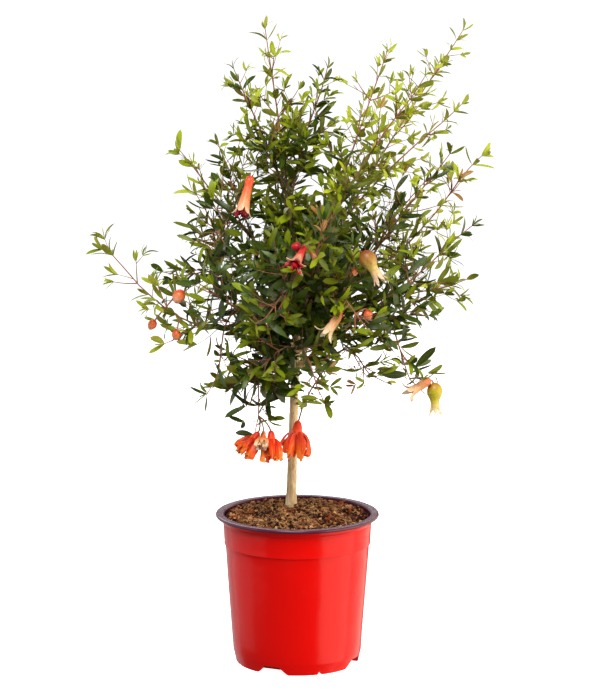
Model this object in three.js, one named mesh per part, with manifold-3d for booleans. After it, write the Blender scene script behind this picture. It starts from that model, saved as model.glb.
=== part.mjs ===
// A pomegranate grown as a small standard tree in a plastic nursery pot, in millimetres, +Z up.
// The origin is the middle of the pot's flat underside, +X is the crown's right and -Y its front.
// The pot, the soil, the trunk and each bough are solids of their own. Each mass of foliage is one
// solid that keeps to its own space: twigs that branch by a seeded rule from one stem, with their
// leaves, blossom and fruit fused on.
import * as THREE from "three";
import { mergeVertices } from "three/addons/utils/BufferGeometryUtils.js";
import Module from "manifold-3d";

const wasm = await Module();
wasm.setup();
const { Manifold, Mesh } = wasm;

// ---------------------------------------------------------------- driving dimensions

const GAP = 0.3; // between any two solids that meet
const FUSE_TOLERANCE = 0.1; // edges shorter than this are closed up where twigs and leaves fuse

const POT = {
  height: 176.5,
  wall: 1.3,
  lipOuter: 95, // radius of the rolled lip
  lipThickness: 4.2,
  lipBevel: 1.2,
  neck: 86.4, // outer radius just under the lip
  collar: 85, // outer radius at the foot of the collar
  step: 83.8, // outer radius just under the collar's step
  stepHeight: 140,
  stepRun: 1.5, // height that the step takes
  footTop: 74.8, // outer radius where the foot's chamfer starts
  footTopHeight: 14,
  foot: 71.8, // outer radius on the ground
  footInner: 64.4,
  padRadius: 24, // the flat pad in the middle of the underside
  floorRise: 3.5, // the floor's underside stands this far off the ground
  floor: 6, // top of the floor
  facets: 32,
};
const NOTCH = {
  count: 4,
  first: -114, // bearing of the first, in degrees
  wide: { base: 40, top: 18, height: 9.5 },
  small: { base: 7, top: 0.5, height: 5 }, // half way between the wide ones
  clear: 4, // how far a cutter runs past the foot ring on either side
  below: 1, // and under the ground plane, for a clean cut
};
const SOIL = {
  edge: 171.5, // its height at the wall
  crown: 179.5, // its height at the trunk
  seat: 15, // radius of the flat that the trunk stands on
  swell: 46, // radius of the ring where the slope eases off
  swellRise: 0.62, // that ring's height, as a share of the way from edge to crown
};
const TRUNK = {
  line: [[-7.4, 12], [-4.4, 10], [-3.6, 7], [3, 7]], // x and y of its curve's points, from foot to fork
  top: 448,
  sides: 9,
  rings: 10,
};
const TRUNK_RADIUS = { foot: 6.1, fork: 3.8, flare: 1.4, flareHeight: 9 };
const BOUGH_RADIUS = { base: 2.9, tip: 2 };
const BOUGH_SIDES = 6;
const BOUGH_RINGS = 3;
const STEM_RADIUS = { base: 1.4, tip: 0.8 };
const TWIG_RADIUS = { base: 1.3, tip: 1 };
const STALK_RADIUS = { base: 1.1, tip: 1.1 };
const SHOOT_SIDES = 3;
const STEM_RING = 40; // about the length of each straight of a stem

const TWIG = {
  step: 42, // about the distance between the pairs along a stem
  nodes: 3, // a stem bears at least this many pairs
  last: 0.84, // share of a stem at which the last pair stands
  shift: 0.02, // share of a stem that a twig may stand off its pair's place by
  roll: 0.7, // and the angle, in radians, that it may stand off by
  angle: 50,
  sway: 24,
  shrink: 0.6, // the power that twigs grow shorter by towards the stem's tip
  spread: [0.75, 1.15],
  rise: 0.16, // share of a twig's length that its tip is lifted by
  tries: [1, 0.74, 0.5],
  min: 11,
  checks: [0.3, 0.55, 0.8, 1], // shares of its length at which it must keep to its space
};
const STALK = {
  hang: 0.35, // how far it bends over before its bloom, as a share of its length
  sunk: 2, // how far it runs into its bloom
  first: 3, // the nearest sample of its stem to the foot that it may leave from
  rings: 3,
};
const STEM_BARE = 0.12; // share of a shoot, from its foot, that bears no leaves of its own
const TWIG_BARE = 0.2;
const LEAF = {
  length: 40,
  width: 14.5,
  rib: 1.2, // thickness where the rib is thickest
  ribPeak: 0.09, // the rib's peak and the widest place, as shares of the length
  waist: 0.5,
  droop: 0.08,
  sunk: 0.5, // the root starts this far behind its twig's axis
  first: 12, // from a shoot's tip back to its first pair
  step: 30, // between the pairs along a shoot
  angle: 55,
  tipAngle: 12, // of the leaf that ends a shoot
  sway: 24,
  twist: 75, // at most this far about its own midrib
  roll: 0.5, // the angle, in radians, that a leaf may stand off its pair's place by
  light: 0.7, // how strongly it faces up
  spread: [0.85, 1.1],
  apart: 8, // between one leaf's midrib and another's, or a twig
  tries: [1, 0.75, 0.55],
  checks: [0.3, 0.65, 1],
};
const SPACE_MARGIN = 1.1; // a leaf or twig stays this much nearer its own stem than any other
const LIMB_CLEARANCE = 1.6;

// Boughs leave the trunk at the height `from` and end at a tip given by bearing (degrees from +X
// towards +Y), reach from the pot's axis and height. A negative bow hangs the middle below the chord.
const BOUGHS = [
  { name: "bough_leader", from: 436, bearing: 150, reach: 10, height: 540, bow: 0 },
  { name: "bough_front_high", from: 418, bearing: -50, reach: 48, height: 506, bow: -8 },
  { name: "bough_back_high", from: 430, bearing: 34, reach: 66, height: 516, bow: -12 },
  { name: "bough_right", from: 396, bearing: -8, reach: 72, height: 456, bow: -10 },
  { name: "bough_right_low", from: 366, bearing: -36, reach: 76, height: 406, bow: -3 },
  { name: "bough_back_right", from: 404, bearing: 52, reach: 76, height: 440, bow: -6 },
  { name: "bough_front", from: 388, bearing: -80, reach: 60, height: 438, bow: -6 },
  { name: "bough_front_left", from: 374, bearing: -142, reach: 66, height: 412, bow: -5 },
  { name: "bough_left_high", from: 424, bearing: 182, reach: 52, height: 500, bow: -10 },
  { name: "bough_back_left", from: 386, bearing: 140, reach: 70, height: 432, bow: -6 },
  { name: "bough_back", from: 410, bearing: 94, reach: 70, height: 460, bow: -8 },
  { name: "bough_low_front", from: 358, bearing: -92, reach: 42, height: 376, bow: 2 },
  { name: "bough_low_left", from: 338, bearing: -150, reach: 38, height: 350, bow: 4 },
  { name: "bough_low_right", from: 346, bearing: -14, reach: 40, height: 362, bow: 2 },
  { name: "bough_low_back", from: 352, bearing: 82, reach: 46, height: 364, bow: 2 },
];

// A mass grows on from its bough's tip to a furthest tip of its own, with twigs up to `spread` long
// at the foot of its stem. `bow` lifts the stem's middle, and `seed` starts its row of random draws.
// Each row holds name, bough, bearing, reach, height, bow, spread and seed.
const MASSES = [
  ["mass_top_leader", "bough_leader", 164, 40, 750, 0, 36, 11],
  ["mass_top_left", "bough_leader", 190, 78, 704, -8, 36, 12],
  ["mass_top_right", "bough_leader", 0, 38, 706, -6, 38, 13],
  ["mass_high_front", "bough_front_high", -24, 164, 700, 0, 46, 21],
  ["mass_high_middle", "bough_front_high", -22, 114, 728, -4, 36, 22],
  ["mass_high_right", "bough_back_high", 17, 208, 744, -6, 44, 31],
  ["mass_high_back", "bough_back_high", 25, 224, 654, -6, 44, 32],
  ["mass_right_tip", "bough_right", -4, 220, 604, -22, 44, 41],
  ["mass_right_upper", "bough_right", -20, 190, 612, 4, 44, 42],
  ["mass_right_lower", "bough_right_low", -19, 219, 530, -6, 46, 51],
  ["mass_right_out", "bough_right_low", -5, 208, 458, 6, 46, 52],
  ["mass_right_hang", "bough_right_low", -34, 184, 326, 34, 44, 53],
  ["mass_back_right", "bough_back_right", 38, 204, 560, -6, 50, 61],
  ["mass_back_right_low", "bough_back_right", 40, 190, 414, 12, 48, 62],
  ["mass_front_up", "bough_front", -80, 176, 548, -4, 54, 71],
  ["mass_front_right", "bough_front", -54, 178, 400, 14, 52, 72],
  ["mass_front_left", "bough_front", -108, 174, 420, 14, 52, 73],
  ["mass_left_tip", "bough_front_left", -166, 252, 504, -46, 42, 81],
  ["mass_left_hang", "bough_front_left", -146, 132, 316, 26, 44, 82],
  ["mass_left_front", "bough_front_left", -132, 176, 470, -4, 48, 83],
  ["mass_left_high", "bough_left_high", -172, 144, 612, -8, 40, 91],
  ["mass_left_upper", "bough_left_high", 158, 104, 616, -4, 40, 92],
  ["mass_left_middle", "bough_left_high", -156, 142, 500, 12, 46, 93],
  ["mass_left_dark", "bough_back_left", 167, 176, 456, 6, 48, 101],
  ["mass_back_left", "bough_back_left", 134, 182, 544, -8, 50, 102],
  ["mass_back_up", "bough_back", 96, 178, 596, -6, 52, 111],
  ["mass_back_low", "bough_back", 84, 184, 436, 12, 50, 112],
  ["mass_low_front", "bough_low_front", -74, 132, 318, 14, 46, 151],
  ["mass_low_front_left", "bough_low_front", -122, 126, 352, 8, 44, 152],
  ["mass_low_flowers", "bough_low_left", -134, 76, 262, 22, 36, 121],
  ["mass_low_left", "bough_low_left", -172, 112, 322, 10, 40, 122],
  ["mass_low_right", "bough_low_right", -16, 122, 328, 14, 44, 131],
  ["mass_low_back", "bough_low_back", 84, 132, 330, 12, 46, 142],
].map(([name, bough, bearing, reach, height, bow, spread, seed]) => ({
  name,
  bough,
  bearing,
  reach,
  height,
  bow,
  spread,
  seed,
}));

// Blossom and fruit: the profile is [distance along the axis, radius, share cut in between the lobes].
const BLOOM_KINDS = {
  tube: { facets: 8, profile: [[6, 4, 0], [30, 5.5, 0], [49, 10.5, 0.5]] },
  open: { facets: 10, profile: [[5, 4, 0], [14, 5.5, 0], [25, 14, 0.3], [37, 11, 0.5]] },
  spent: { facets: 8, profile: [[6, 4.6, 0], [28, 5, 0.2], [40, 10, 0.65]] },
  fruit: { facets: 8, profile: [[4, 7.4, 0], [11, 9.8, 0], [19, 7, 0], [25, 4.4, 0], [39, 9.5, 0.5]] },
  bud: { facets: 5, profile: [[5, 4.2, 0], [10, 4.4, 0]] },
};

const BLOOM_TIP = 3; // each one ends this far beyond its last ring
const PATH_SAMPLES = 20;

// Where each one hangs: its kind and mass, the point of its stalk, the way its mouth faces, and a size.
const BLOOMS = [
  ["tube", "mass_left_middle", [-52, -78, 576], [-0.24, -0.3, -1], 0.9],
  ["tube", "mass_front_left", [9, -122, 505], [-0.45, -0.95, -0.72], 0.74],
  ["tube", "mass_front_left", [13, -121, 504], [0.5, -0.35, -1], 0.36],
  ["bud", "mass_front_left", [5, -121, 503], [-1, -0.3, 0.1], 0.95],
  ["fruit", "mass_front_right", [72.5, -132, 499], [0.58, -0.15, -1], 0.94],
  ["fruit", "mass_right_hang", [154, -84, 344], [0.03, -0.05, -1], 0.87],
  ["spent", "mass_right_hang", [149, -90, 349], [-0.9, -0.25, -0.5], 0.86],
  ["spent", "mass_front_right", [48, -112, 428], [-0.65, -0.2, -0.9], 0.85],
  ["spent", "mass_low_flowers", [-38, -56, 283], [-0.15, -0.8, -1], 0.55],
  ["open", "mass_low_flowers", [-44, -50, 281], [-0.65, -0.25, -0.8], 0.76],
  ["open", "mass_low_flowers", [-30, -52, 283], [0.05, -0.3, -1], 0.8],
  ["open", "mass_low_right", [1, -26, 289], [-0.12, -0.12, -1], 1],
  ["bud", "mass_left_tip", [-130, -58, 446], [-0.3, -0.4, -0.6], 1.4],
  ["bud", "mass_left_tip", [-160, -66, 413], [-0.5, -0.1, -0.8], 1],
  ["bud", "mass_left_tip", [-135, -70, 403], [-0.15, -0.1, -1], 1],
  ["bud", "mass_front_right", [78, -104, 431], [0.1, -0.3, -1], 1],
  ["bud", "mass_front_right", [64, -110, 478], [-0.1, -0.3, -1], 0.7],
  ["fruit", "mass_back_left", [-96, 112, 470], [-0.1, 0.25, -1], 1],
  ["tube", "mass_back_up", [12, 138, 516], [0.3, 0.35, -0.9], 1],
  ["open", "mass_back_low", [36, 128, 428], [0.2, 0.3, -0.9], 1],
].map(([kind, mass, spot, facing, size]) => ({ kind, mass, spot, facing, size }));

const FINISHES = {
  pot: { color: 0xd8140f, roughness: 0.35 },
  soil: { color: 0x4a3320, roughness: 0.95 },
  bark: { color: 0xb5a184, roughness: 0.8 },
  foliage: { color: 0x3d6b22, roughness: 0.5 },
};

// ---------------------------------------------------------------- solids and geometries

function solidOf(geometry) {
  geometry.deleteAttribute("normal");
  geometry.deleteAttribute("uv");
  const merged = mergeVertices(geometry, 1e-4);
  return new Manifold(
    new Mesh({
      numProp: 3,
      vertProperties: new Float32Array(merged.attributes.position.array),
      triVerts: new Uint32Array(merged.index.array),
    }),
  );
}

function geometryOf(solid) {
  const mesh = solid.getMesh();
  const points = new Float32Array(mesh.numVert * 3);
  for (let i = 0; i < mesh.numVert; i++)
    points.set(mesh.vertProperties.subarray(i * mesh.numProp, i * mesh.numProp + 3), i * 3);
  const geometry = new THREE.BufferGeometry();
  geometry.setAttribute("position", new THREE.BufferAttribute(points, 3));
  geometry.setIndex(new THREE.BufferAttribute(mesh.triVerts, 1));
  geometry.computeVertexNormals();
  return geometry;
}

// The largest closed body of a solid: loose scraps are dropped and sealed hollows are filled.
function mainBody(solid) {
  const bodies = solid.decompose();
  return bodies.reduce((best, body) => (body.volume() > best.volume() ? body : best));
}

// Turns a profile of [radius, height] points about +Z. The lathe of three.js turns about +Y.
function lathe(profile, facets) {
  const points = profile.map(([radius, height]) => new THREE.Vector2(radius, height));
  return new THREE.LatheGeometry(points, facets).rotateX(Math.PI / 2);
}

// Two unit vectors across a direction, that turn as little as possible from the ones before.
function acrossFrame(direction, before) {
  const spare = Math.abs(direction.z) < 0.9 ? new THREE.Vector3(0, 0, 1) : new THREE.Vector3(1, 0, 0);
  const seed = before ?? spare;
  const u = seed.clone().addScaledVector(direction, -seed.dot(direction)).normalize();
  return [u, direction.clone().cross(u)];
}

// A tapering limb: a cylinder whose rings of points are carried onto a curve. radiusAt(share) is its
// radius along the way, and firstNormal squares its foot to something other than the curve.
function limb(curve, radiusAt, sides, rings, firstNormal) {
  const places = [];
  let before = null;
  for (let ring = 0; ring <= rings; ring++) {
    const share = ring / rings;
    const direction = ring === 0 && firstNormal ? firstNormal : curve.getTangent(share);
    const [u, v] = acrossFrame(direction, before);
    before = u;
    places.push({ centre: curve.getPoint(share), u, v, radius: radiusAt(share) });
  }
  const geometry = new THREE.CylinderGeometry(1, 1, rings, sides, rings);
  const position = geometry.attributes.position;
  for (let i = 0; i < position.count; i++) {
    const { centre, u, v, radius } = places[Math.round(position.getY(i) + rings / 2)];
    const point = centre
      .clone()
      .addScaledVector(u, radius * position.getZ(i))
      .addScaledVector(v, radius * position.getX(i));
    position.setXYZ(i, point.x, point.y, point.z);
  }
  return geometry;
}

// A curve cut into equal shares by straight lengths, as the solid limb along it is, so that whatever
// grows on the limb starts inside it.
class Shoot extends THREE.Curve {
  constructor(curve, rings) {
    super();
    this.rings = rings;
    this.joints = Array.from({ length: rings + 1 }, (_, i) => curve.getPoint(i / rings));
  }

  getPoint(share, target = new THREE.Vector3()) {
    const ring = Math.min(Math.floor(share * this.rings), this.rings - 1);
    return target.lerpVectors(this.joints[ring], this.joints[ring + 1], share * this.rings - ring);
  }
}

const shootSolid = (shoot, radii, firstNormal) =>
  solidOf(limb(shoot, taper(radii), SHOOT_SIDES, shoot.rings, firstNormal));

const mix = (a, b, share) => a + (b - a) * share;
const taper = ({ base, tip }) => (share) => mix(base, tip, share);
const radians = THREE.MathUtils.degToRad;

function polar({ bearing, reach, height }) {
  const turn = radians(bearing);
  return new THREE.Vector3(reach * Math.cos(turn), reach * Math.sin(turn), height);
}

// ---------------------------------------------------------------- random draws

// A row of draws from 0 to 1 that depends on nothing but its seed.
function drawsFrom(seed) {
  let state = seed >>> 0;
  return () => {
    state = (state + 0x6d2b79f5) >>> 0;
    let t = Math.imul(state ^ (state >>> 15), 1 | state);
    t = (t + Math.imul(t ^ (t >>> 7), 61 | t)) ^ t;
    return ((t ^ (t >>> 14)) >>> 0) / 4294967296;
  };
}

// ---------------------------------------------------------------- pot and soil

function potSolid() {
  const p = POT;
  const lipBottom = p.height - p.lipThickness;
  const profile = [
    [0, 0],
    [p.padRadius, 0],
    [p.padRadius, p.floorRise],
    [p.footInner, p.floorRise],
    [p.footInner, 0],
    [p.foot, 0],
    [p.footTop, p.footTopHeight],
    [p.step, p.stepHeight],
    [p.collar, p.stepHeight + p.stepRun],
    [p.neck, lipBottom],
    [p.lipOuter, lipBottom + p.lipBevel],
    [p.lipOuter, p.height - p.lipBevel],
    [p.lipOuter - p.lipBevel, p.height],
    [p.neck - p.wall + p.lipBevel, p.height],
    [p.neck - p.wall, p.height - p.lipBevel],
    [p.collar - p.wall, p.stepHeight + p.wall],
    [p.step - p.wall, p.stepHeight - p.wall],
    [p.footTop - p.wall, p.footTopHeight + p.wall],
    [p.foot - 2 * p.wall, p.floor],
    [0, p.floor],
  ];
  let pot = solidOf(lathe(profile, p.facets));
  for (let i = 0; i < NOTCH.count; i++) {
    const turn = radians(NOTCH.first + (i * 360) / NOTCH.count);
    const wide = notchCutter(NOTCH.wide, turn);
    const small = notchCutter(NOTCH.small, turn + Math.PI / NOTCH.count);
    pot = pot.subtract(wide).subtract(small);
  }
  return mainBody(pot);
}

// A prism through the foot ring, with a trapezium for its section, pointing out along `turn`.
function notchCutter({ base, top, height }, turn) {
  const shape = new THREE.Shape([
    new THREE.Vector2(-base / 2, -NOTCH.below),
    new THREE.Vector2(base / 2, -NOTCH.below),
    new THREE.Vector2(top / 2, height),
    new THREE.Vector2(-top / 2, height),
  ]);
  const outer = POT.footTop + NOTCH.clear;
  const depth = outer - (POT.footInner - NOTCH.clear);
  const cutter = new THREE.ExtrudeGeometry(shape, { depth, bevelEnabled: false });
  cutter.rotateX(Math.PI / 2);
  cutter.translate(0, outer, 0);
  cutter.rotateZ(turn - Math.PI / 2);
  return solidOf(cutter);
}

function soilSolid() {
  const p = POT;
  const clear = GAP + p.wall;
  return solidOf(
    lathe(
      [
        [0, p.floor + GAP],
        [p.foot - clear - p.wall, p.floor + GAP],
        [p.footTop - clear, p.footTopHeight + p.wall],
        [p.step - clear, p.stepHeight - p.wall],
        [p.collar - clear, SOIL.edge],
        [SOIL.swell, mix(SOIL.edge, SOIL.crown, SOIL.swellRise)],
        [SOIL.seat, SOIL.crown],
        [0, SOIL.crown],
      ],
      p.facets,
    ),
  );
}

// ---------------------------------------------------------------- trunk and boughs

const trunkFoot = SOIL.crown + GAP;
const trunkCurve = new THREE.CubicBezierCurve3(
  ...TRUNK.line.map(([x, y], i) => new THREE.Vector3(x, y, mix(trunkFoot, TRUNK.top, i / 3))),
);

function trunkRadius(share) {
  const up = share * (TRUNK.top - trunkFoot);
  const flare = TRUNK_RADIUS.flare * Math.exp(-up / TRUNK_RADIUS.flareHeight);
  return mix(TRUNK_RADIUS.foot, TRUNK_RADIUS.fork, share) + flare;
}

const trunkShare = (height) => (height - trunkFoot) / (TRUNK.top - trunkFoot);

function trunkSolid(extra = 0) {
  const up = new THREE.Vector3(0, 0, 1);
  return solidOf(limb(trunkCurve, (share) => trunkRadius(share) + extra, TRUNK.sides, TRUNK.rings, up));
}

// A curve from start to end whose middle is lifted by `bow`.
function bowed(start, end, bow) {
  const middle = start.clone().lerp(end, 0.5);
  middle.z += 2 * bow;
  return new THREE.QuadraticBezierCurve3(start, middle, end);
}

const boughCurves = new Map(
  BOUGHS.map((bough) => {
    const start = trunkCurve.getPoint(trunkShare(bough.from));
    return [bough.name, bowed(start, polar(bough), bough.bow)];
  }),
);

function boughSolid(bough, trunkGrown) {
  const whole = solidOf(limb(boughCurves.get(bough.name), taper(BOUGH_RADIUS), BOUGH_SIDES, BOUGH_RINGS));
  return mainBody(whole.subtract(trunkGrown));
}

// ---------------------------------------------------------------- the space of each mass

// Sister stems stand in a ring on their bough's tip, in the order of the ways that they grow.
function stemFoot(mass) {
  const bough = boughCurves.get(mass.bough);
  const heading = bough.getTangent(1);
  const centre = bough.getPoint(1).addScaledVector(heading, GAP);
  const sisters = MASSES.filter((other) => other.bough === mass.bough);
  if (sisters.length === 1) return { foot: centre, heading };
  const [u, v] = acrossFrame(heading, null);
  const bearingOf = (one) => {
    const way = polar(one).sub(centre);
    return Math.atan2(way.dot(v), way.dot(u));
  };
  const ring = [...sisters].sort((one, other) => bearingOf(one) - bearingOf(other));
  const slot = (2 * Math.PI) / ring.length;
  const turned = ring.reduce((sum, one, i) => sum + bearingOf(one) - i * slot, 0) / ring.length;
  const turn = turned + ring.indexOf(mass) * slot;
  const out = (STEM_RADIUS.base + GAP) / Math.sin(slot / 2);
  const foot = centre.addScaledVector(u, out * Math.cos(turn)).addScaledVector(v, out * Math.sin(turn));
  return { foot, heading };
}

// A stem leaves its bough's tip half way between the bough's heading and its own way, and stops short
// of the mass's furthest tip by the leaf that ends it.
function stemCurve(mass) {
  const { foot, heading } = stemFoot(mass);
  const way = polar(mass).sub(foot);
  way.setLength(way.length() - LEAF.length);
  const end = foot.clone().add(way);
  const lead = way.clone().normalize().add(heading).normalize();
  const middle = foot.clone().addScaledVector(lead, way.length() / 2);
  middle.z += 2 * mass.bow;
  const curve = new THREE.QuadraticBezierCurve3(foot, middle, end);
  const rings = Math.max(3, Math.round(curve.getLength() / STEM_RING));
  return { stem: new Shoot(curve, rings), heading };
}

const stems = new Map(MASSES.map((mass) => [mass.name, stemCurve(mass)]));

const sampled = (curve) =>
  Array.from({ length: PATH_SAMPLES + 1 }, (_, i) => curve.getPoint(i / PATH_SAMPLES));

function distanceToPath(point, path) {
  const segment = new THREE.Line3();
  const nearest = new THREE.Vector3();
  let best = Infinity;
  for (let i = 0; i + 1 < path.length; i++) {
    segment.set(path[i], path[i + 1]);
    segment.closestPointToPoint(point, true, nearest);
    best = Math.min(best, nearest.distanceTo(point));
  }
  return best;
}

const bloomLength = ({ kind, size }) => size * (BLOOM_KINDS[kind].profile.at(-1)[0] + BLOOM_TIP);
const bloomRadius = ({ kind, size }) =>
  size * Math.max(...BLOOM_KINDS[kind].profile.map(([, radius]) => radius));

function bloomAxis(bloom) {
  const start = new THREE.Vector3(...bloom.spot);
  const facing = new THREE.Vector3(...bloom.facing).normalize();
  return { start, facing, end: start.clone().addScaledVector(facing, bloomLength(bloom)) };
}

// What a mass's space is measured from: its stem, its bloom stalks and its blooms with their girth.
const skeletons = new Map(
  MASSES.map((mass) => {
    const { stem } = stems.get(mass.name);
    const blooms = BLOOMS.filter((bloom) => bloom.mass === mass.name).flatMap((bloom) => {
      const { start, end } = bloomAxis(bloom);
      return [
        { path: stalkOf(bloom, stem).joints, girth: 0 },
        { path: [start, end], girth: bloomRadius(bloom) },
      ];
    });
    return [mass.name, [{ path: stem.joints, girth: 0 }, ...blooms]];
  }),
);

const limbs = [
  { path: sampled(trunkCurve), girth: TRUNK_RADIUS.foot },
  ...BOUGHS.map((bough) => ({ path: sampled(boughCurves.get(bough.name)), girth: BOUGH_RADIUS.base })),
];

const nearest = (point, lines) =>
  Math.min(...lines.map(({ path, girth }) => distanceToPath(point, path) - girth));

// True where a point belongs to the mass's own space, with `girth` to spare, clear of every limb.
function inSpace(point, mass, girth) {
  if (nearest(point, limbs) < LIMB_CLEARANCE + girth) return false;
  const own = nearest(point, skeletons.get(mass.name));
  for (const [name, lines] of skeletons)
    if (name !== mass.name && nearest(point, lines) < own + 2 * (SPACE_MARGIN + girth)) return false;
  return true;
}

// ---------------------------------------------------------------- leaves, blossom and fruit

// A leaf is a three-sided spindle: a root, a tip, two edges at its waist, and a rib beneath that is
// deepest near the root. Its tip bends down, away from the side that faces the light.
function leafGeometry(root, direction, normal, size) {
  const length = LEAF.length * size;
  const places = {
    root: [0, 0, 0],
    tip: [length, 0, -length * LEAF.droop],
    rib: [length * LEAF.ribPeak, 0, -LEAF.rib],
    left: [length * LEAF.waist, (LEAF.width * size) / 2, 0],
    right: [length * LEAF.waist, (-LEAF.width * size) / 2, 0],
  };
  const geometry = new THREE.SphereGeometry(1, 3, 2);
  const position = geometry.attributes.position;
  for (let i = 0; i < position.count; i++) {
    const [x, y, z] = [position.getX(i), position.getY(i), position.getZ(i)];
    const corner = y > 0.5 ? "tip" : y < -0.5 ? "root" : x < -0.9 ? "rib" : z > 0 ? "left" : "right";
    position.setXYZ(i, ...places[corner]);
  }
  const frame = new THREE.Matrix4().makeBasis(direction, normal.clone().cross(direction), normal);
  return geometry.applyMatrix4(frame.setPosition(root));
}

// A bloom or fruit turned on a lathe, with every other facet cut in where its lobes part.
function bloomGeometry(bloom) {
  const { facets, profile } = BLOOM_KINDS[bloom.kind];
  const closed = [[0, 0, 0], ...profile, [profile.at(-1)[0] + BLOOM_TIP, 0, 0]];
  const points = closed.map(([along, radius]) => new THREE.Vector2(radius, along));
  const geometry = new THREE.LatheGeometry(points, facets);
  const position = geometry.attributes.position;
  for (let i = 0; i < position.count; i++) {
    const facet = Math.floor(i / closed.length) % facets;
    const keep = facet % 2 ? 1 - closed[i % closed.length][2] : 1;
    position.setX(i, position.getX(i) * keep);
    position.setZ(i, position.getZ(i) * keep);
  }
  const { start, facing } = bloomAxis(bloom);
  geometry.scale(...new THREE.Vector3().setScalar(bloom.size));
  geometry.applyQuaternion(new THREE.Quaternion().setFromUnitVectors(new THREE.Vector3(0, 1, 0), facing));
  return geometry.translate(start.x, start.y, start.z);
}

// The stalk of a bloom leaves the nearest part of its stem and bends over to the bloom's own axis.
function stalkOf(bloom, stem) {
  const { start, facing } = bloomAxis(bloom);
  const from = sampled(stem)
    .slice(STALK.first)
    .reduce((best, point) => (point.distanceTo(start) < best.distanceTo(start) ? point : best));
  const end = start.clone().addScaledVector(facing, STALK.sunk);
  const middle = start.clone().addScaledVector(facing, -STALK.hang * from.distanceTo(start));
  return new Shoot(new THREE.QuadraticBezierCurve3(from, middle, end), STALK.rings);
}

// ---------------------------------------------------------------- the rule that a mass grows by

// Turns away from a heading by `angle`, at `roll` round it, both in radians.
function branchOff(heading, across, angle, roll) {
  const [u, v] = acrossFrame(heading, across);
  return heading
    .clone()
    .multiplyScalar(Math.cos(angle))
    .addScaledVector(u, Math.sin(angle) * Math.cos(roll))
    .addScaledVector(v, Math.sin(angle) * Math.sin(roll))
    .normalize();
}

// A leaf at a share of a shoot, at an angle off its heading. It is left out where it would leave
// the mass's space or come too near what has grown there before it.
function addLeaf(grown, shoot, share, angle, roll, draw) {
  const heading = shoot.getTangent(share);
  const direction = branchOff(heading, null, radians(angle + LEAF.sway * (draw() - 0.5)), roll);
  const facing = heading.clone().add(new THREE.Vector3(0, 0, LEAF.light));
  const normal = facing.addScaledVector(direction, -facing.dot(direction)).normalize();
  normal.applyAxisAngle(direction, radians(LEAF.twist * (draw() * 2 - 1)));
  const root = shoot.getPoint(share).addScaledVector(direction, -LEAF.sunk);
  const across = normal.clone().cross(direction);
  const drawn = mix(...LEAF.spread, draw());
  const others = grown.lines.filter((line) => line.shoot !== shoot);
  for (const factor of LEAF.tries) {
    const size = drawn * factor;
    const along = (part) => root.clone().addScaledVector(direction, LEAF.length * size * part);
    const side = across.clone().multiplyScalar((LEAF.width * size) / 2);
    const blade = LEAF.checks.map(along);
    const edges = [along(LEAF.waist).add(side), along(LEAF.waist).sub(side)];
    if (![...blade, ...edges].every((point) => inSpace(point, grown.mass, LEAF.rib / 2))) continue;
    if (!blade.every((point) => nearest(point, others) > LEAF.apart)) continue;
    grown.solids.push(solidOf(leafGeometry(root, direction, normal, size)));
    grown.lines.push({ path: [root, along(1)], girth: 0 });
    return;
  }
}

// A leaf that ends a shoot, then pairs back to its bare foot, each a quarter turn from the last.
function addLeaves(grown, shoot, bare, draw) {
  const length = shoot.getLength();
  addLeaf(grown, shoot, 1 - LEAF.sunk / length, LEAF.tipAngle, 0, draw);
  let quarter = draw() * Math.PI;
  for (let back = LEAF.first; back < length * (1 - bare); back += LEAF.step) {
    for (const side of [0, Math.PI]) {
      const roll = quarter + side + LEAF.roll * (draw() - 0.5);
      addLeaf(grown, shoot, 1 - back / length, LEAF.angle, roll, draw);
    }
    quarter += Math.PI / 2;
  }
}

// A twig off a stem, or null where none of the lengths that it tries keeps to the mass's space.
function twigOf(mass, stem, share, roll, draw) {
  const start = stem.getPoint(share);
  const wanted = mass.spread * Math.pow(1 - share, TWIG.shrink) * mix(...TWIG.spread, draw());
  const angle = radians(TWIG.angle + TWIG.sway * (draw() - 0.5));
  const direction = branchOff(stem.getTangent(share), null, angle, roll);
  for (const factor of TWIG.tries) {
    const length = wanted * factor;
    if (length < TWIG.min) return null;
    const end = start.clone().addScaledVector(direction, length);
    end.z += TWIG.rise * length;
    const twig = new Shoot(new THREE.LineCurve3(start, end), 1);
    const checks = TWIG.checks.map((at) => twig.getPoint(at));
    if (checks.every((point) => inSpace(point, mass, TWIG_RADIUS.base))) return twig;
  }
  return null;
}

// The twigs of a mass, in pairs along its stem, each pair a quarter turn from the last.
function twigsOf(mass, stem) {
  const twigs = [];
  const nodes = Math.max(TWIG.nodes, Math.round((TWIG.last * stem.getLength()) / TWIG.step));
  for (let node = 1; node <= nodes; node++)
    for (const side of [0, 1]) {
      const draw = drawsFrom(mass.seed * 1000 + node * 2 + side);
      const share = (TWIG.last * node) / nodes + TWIG.shift * (draw() - 0.5);
      const roll = (node * Math.PI) / 2 + side * Math.PI + TWIG.roll * (draw() - 0.5);
      const twig = twigOf(mass, stem, share, roll, draw);
      if (twig) twigs.push({ twig, draw });
    }
  return twigs;
}

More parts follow.
